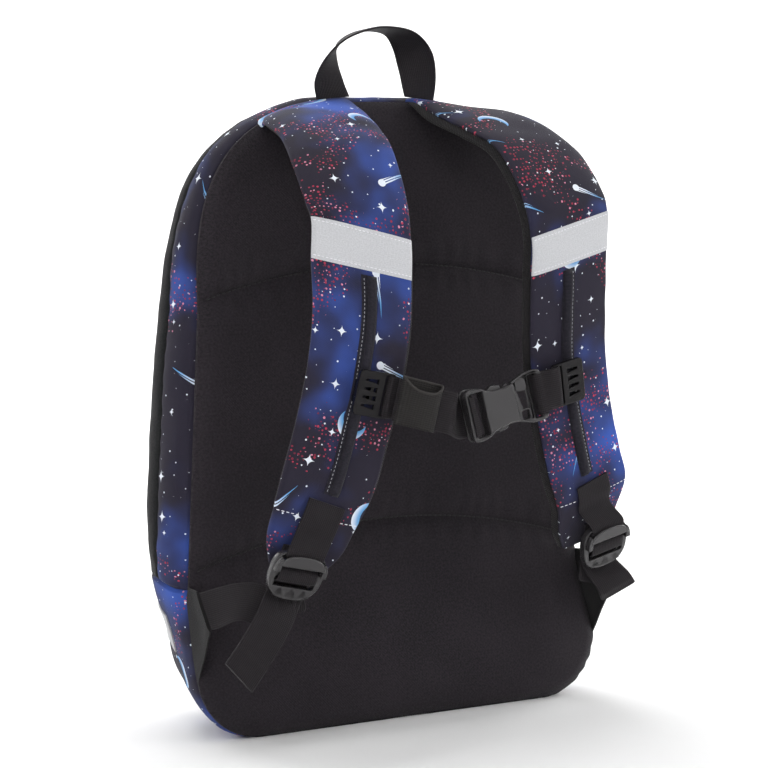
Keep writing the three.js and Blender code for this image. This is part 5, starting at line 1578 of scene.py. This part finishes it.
def zip_slider():
    way = way_to_height(CROSS_SEAM_HEIGHT + ZIP_SLIDER_ABOVE)
    origin = body_point(ZIP_SLIDER_DEPTH, way)
    down = body_point(ZIP_SLIDER_DEPTH, way - 1) - body_point(ZIP_SLIDER_DEPTH, way + 1)
    forward = body_point(ZIP_SLIDER_DEPTH + 1, way) - body_point(ZIP_SLIDER_DEPTH - 1, way)
    axes = axes_of(origin, down, forward)
    low, high = 2 * GAP, 2 * GAP + ZIP_SLIDER_THICKNESS
    body = box_outline(-ZIP_BODY_HALF, 0, ZIP_BODY_HALF, ZIP_BODY_LENGTH, radius=2.0)
    pull = box_outline(-ZIP_PULL_HALF, ZIP_PULL_LOW, ZIP_PULL_HALF, ZIP_PULL_HIGH, radius=1.6)
    eye = box_outline(-ZIP_EYE_HALF, ZIP_EYE_LOW, ZIP_EYE_HALF, ZIP_EYE_HIGH, radius=0.6)
    parts = [plate(body, [], low, high + 0.4, bevel=0.5), plate(pull, [eye], low + 0.8, high, bevel=0.4)]
    return [placed(part, axes) for part in parts]


piece("zip_slider", zip_slider(), PLASTIC)


# Studio: a pale round cove, soft lights and the camera of the photo
def cove(radius=4.6, bend=2.8, height=5.0):
    corner = np.radians(np.linspace(-90, 0, 40))
    profile = [(radius - bend, 0.0)]
    profile += [(radius - bend + bend * math.cos(t), bend + bend * math.sin(t)) for t in corner]
    profile.append((radius, height))
    turns = full_turn(96)
    points = [(r * math.cos(t), r * math.sin(t), z) for r, z in profile for t in turns]
    rows = np.arange(len(points)).reshape(-1, len(turns))
    faces = [tuple(int(i) for i in rows[0])]
    for i in range(len(rows) - 1):
        faces += [tuple(int(n) for n in face[::-1]) for face in quads_between(rows[i], rows[i + 1], True)]
    mesh = bpy.data.meshes.new("studio_cove")
    mesh.from_pydata(points, [], faces)
    mesh.polygons.foreach_set("use_smooth", [True] * len(mesh.polygons))
    paper = Shader("studio_paper", roughness=0.9, specular=0.1)
    mesh.materials.append(paper.colour((0.95, 0.95, 0.95, 1)))
    obj = link("studio_cove", mesh)


def stand(obj, right, up, back, place):
    """Places an object by its own three directions."""
    columns = np.stack([right, up, back], axis=-1)
    obj.matrix_world = Matrix([[*row, p] for row, p in zip(columns, place)] + [[0, 0, 0, 1]])


def area_light(row):
    light = bpy.data.lights.new(row.name, "AREA")
    light.shape = "DISK"
    light.size = row.size
    light.energy = row.power
    back = unit(np.array(row.place) - np.array(row.target))
    right = unit(np.cross((0, 0, 1), back))
    stand(link(row.name, light), right, np.cross(back, right), back, row.place)


cove()
for light_row in LIGHTS:
    area_light(light_row)

scene = bpy.context.scene
world = bpy.data.worlds.new("studio_world")
world.use_nodes = True
background = world.node_tree.nodes["Background"]
background.inputs["Color"].default_value = (1, 1, 1, 1)
background.inputs["Strength"].default_value = WORLD_STRENGTH
scene.world = world
scene.view_settings.view_transform = "Standard"


def photo_camera():
    azimuth, elevation = math.radians(CAMERA_AZIMUTH), math.radians(CAMERA_ELEVATION)
    roll = math.radians(CAMERA_ROLL)
    level = np.array([math.sin(azimuth), -math.cos(azimuth), 0.0])
    back = level * math.cos(elevation) + np.array([0.0, 0.0, math.sin(elevation)])
    right = np.array([math.cos(azimuth), math.sin(azimuth), 0.0])
    up = np.cross(back, right)
    rolled_right = math.cos(roll) * right + math.sin(roll) * up
    rolled_up = -math.sin(roll) * right + math.cos(roll) * up
    data = bpy.data.cameras.new("photo_camera")
    data.lens = CAMERA_LENS
    data.sensor_width = CAMERA_SENSOR
    data.clip_end = CAMERA_CLIP
    place = (np.array(CAMERA_TARGET) + SHIFT + back * CAMERA_DISTANCE) * MM
    camera = link("photo_camera", data)
    stand(camera, rolled_right, rolled_up, back, place)
    scene.camera = camera


photo_camera()
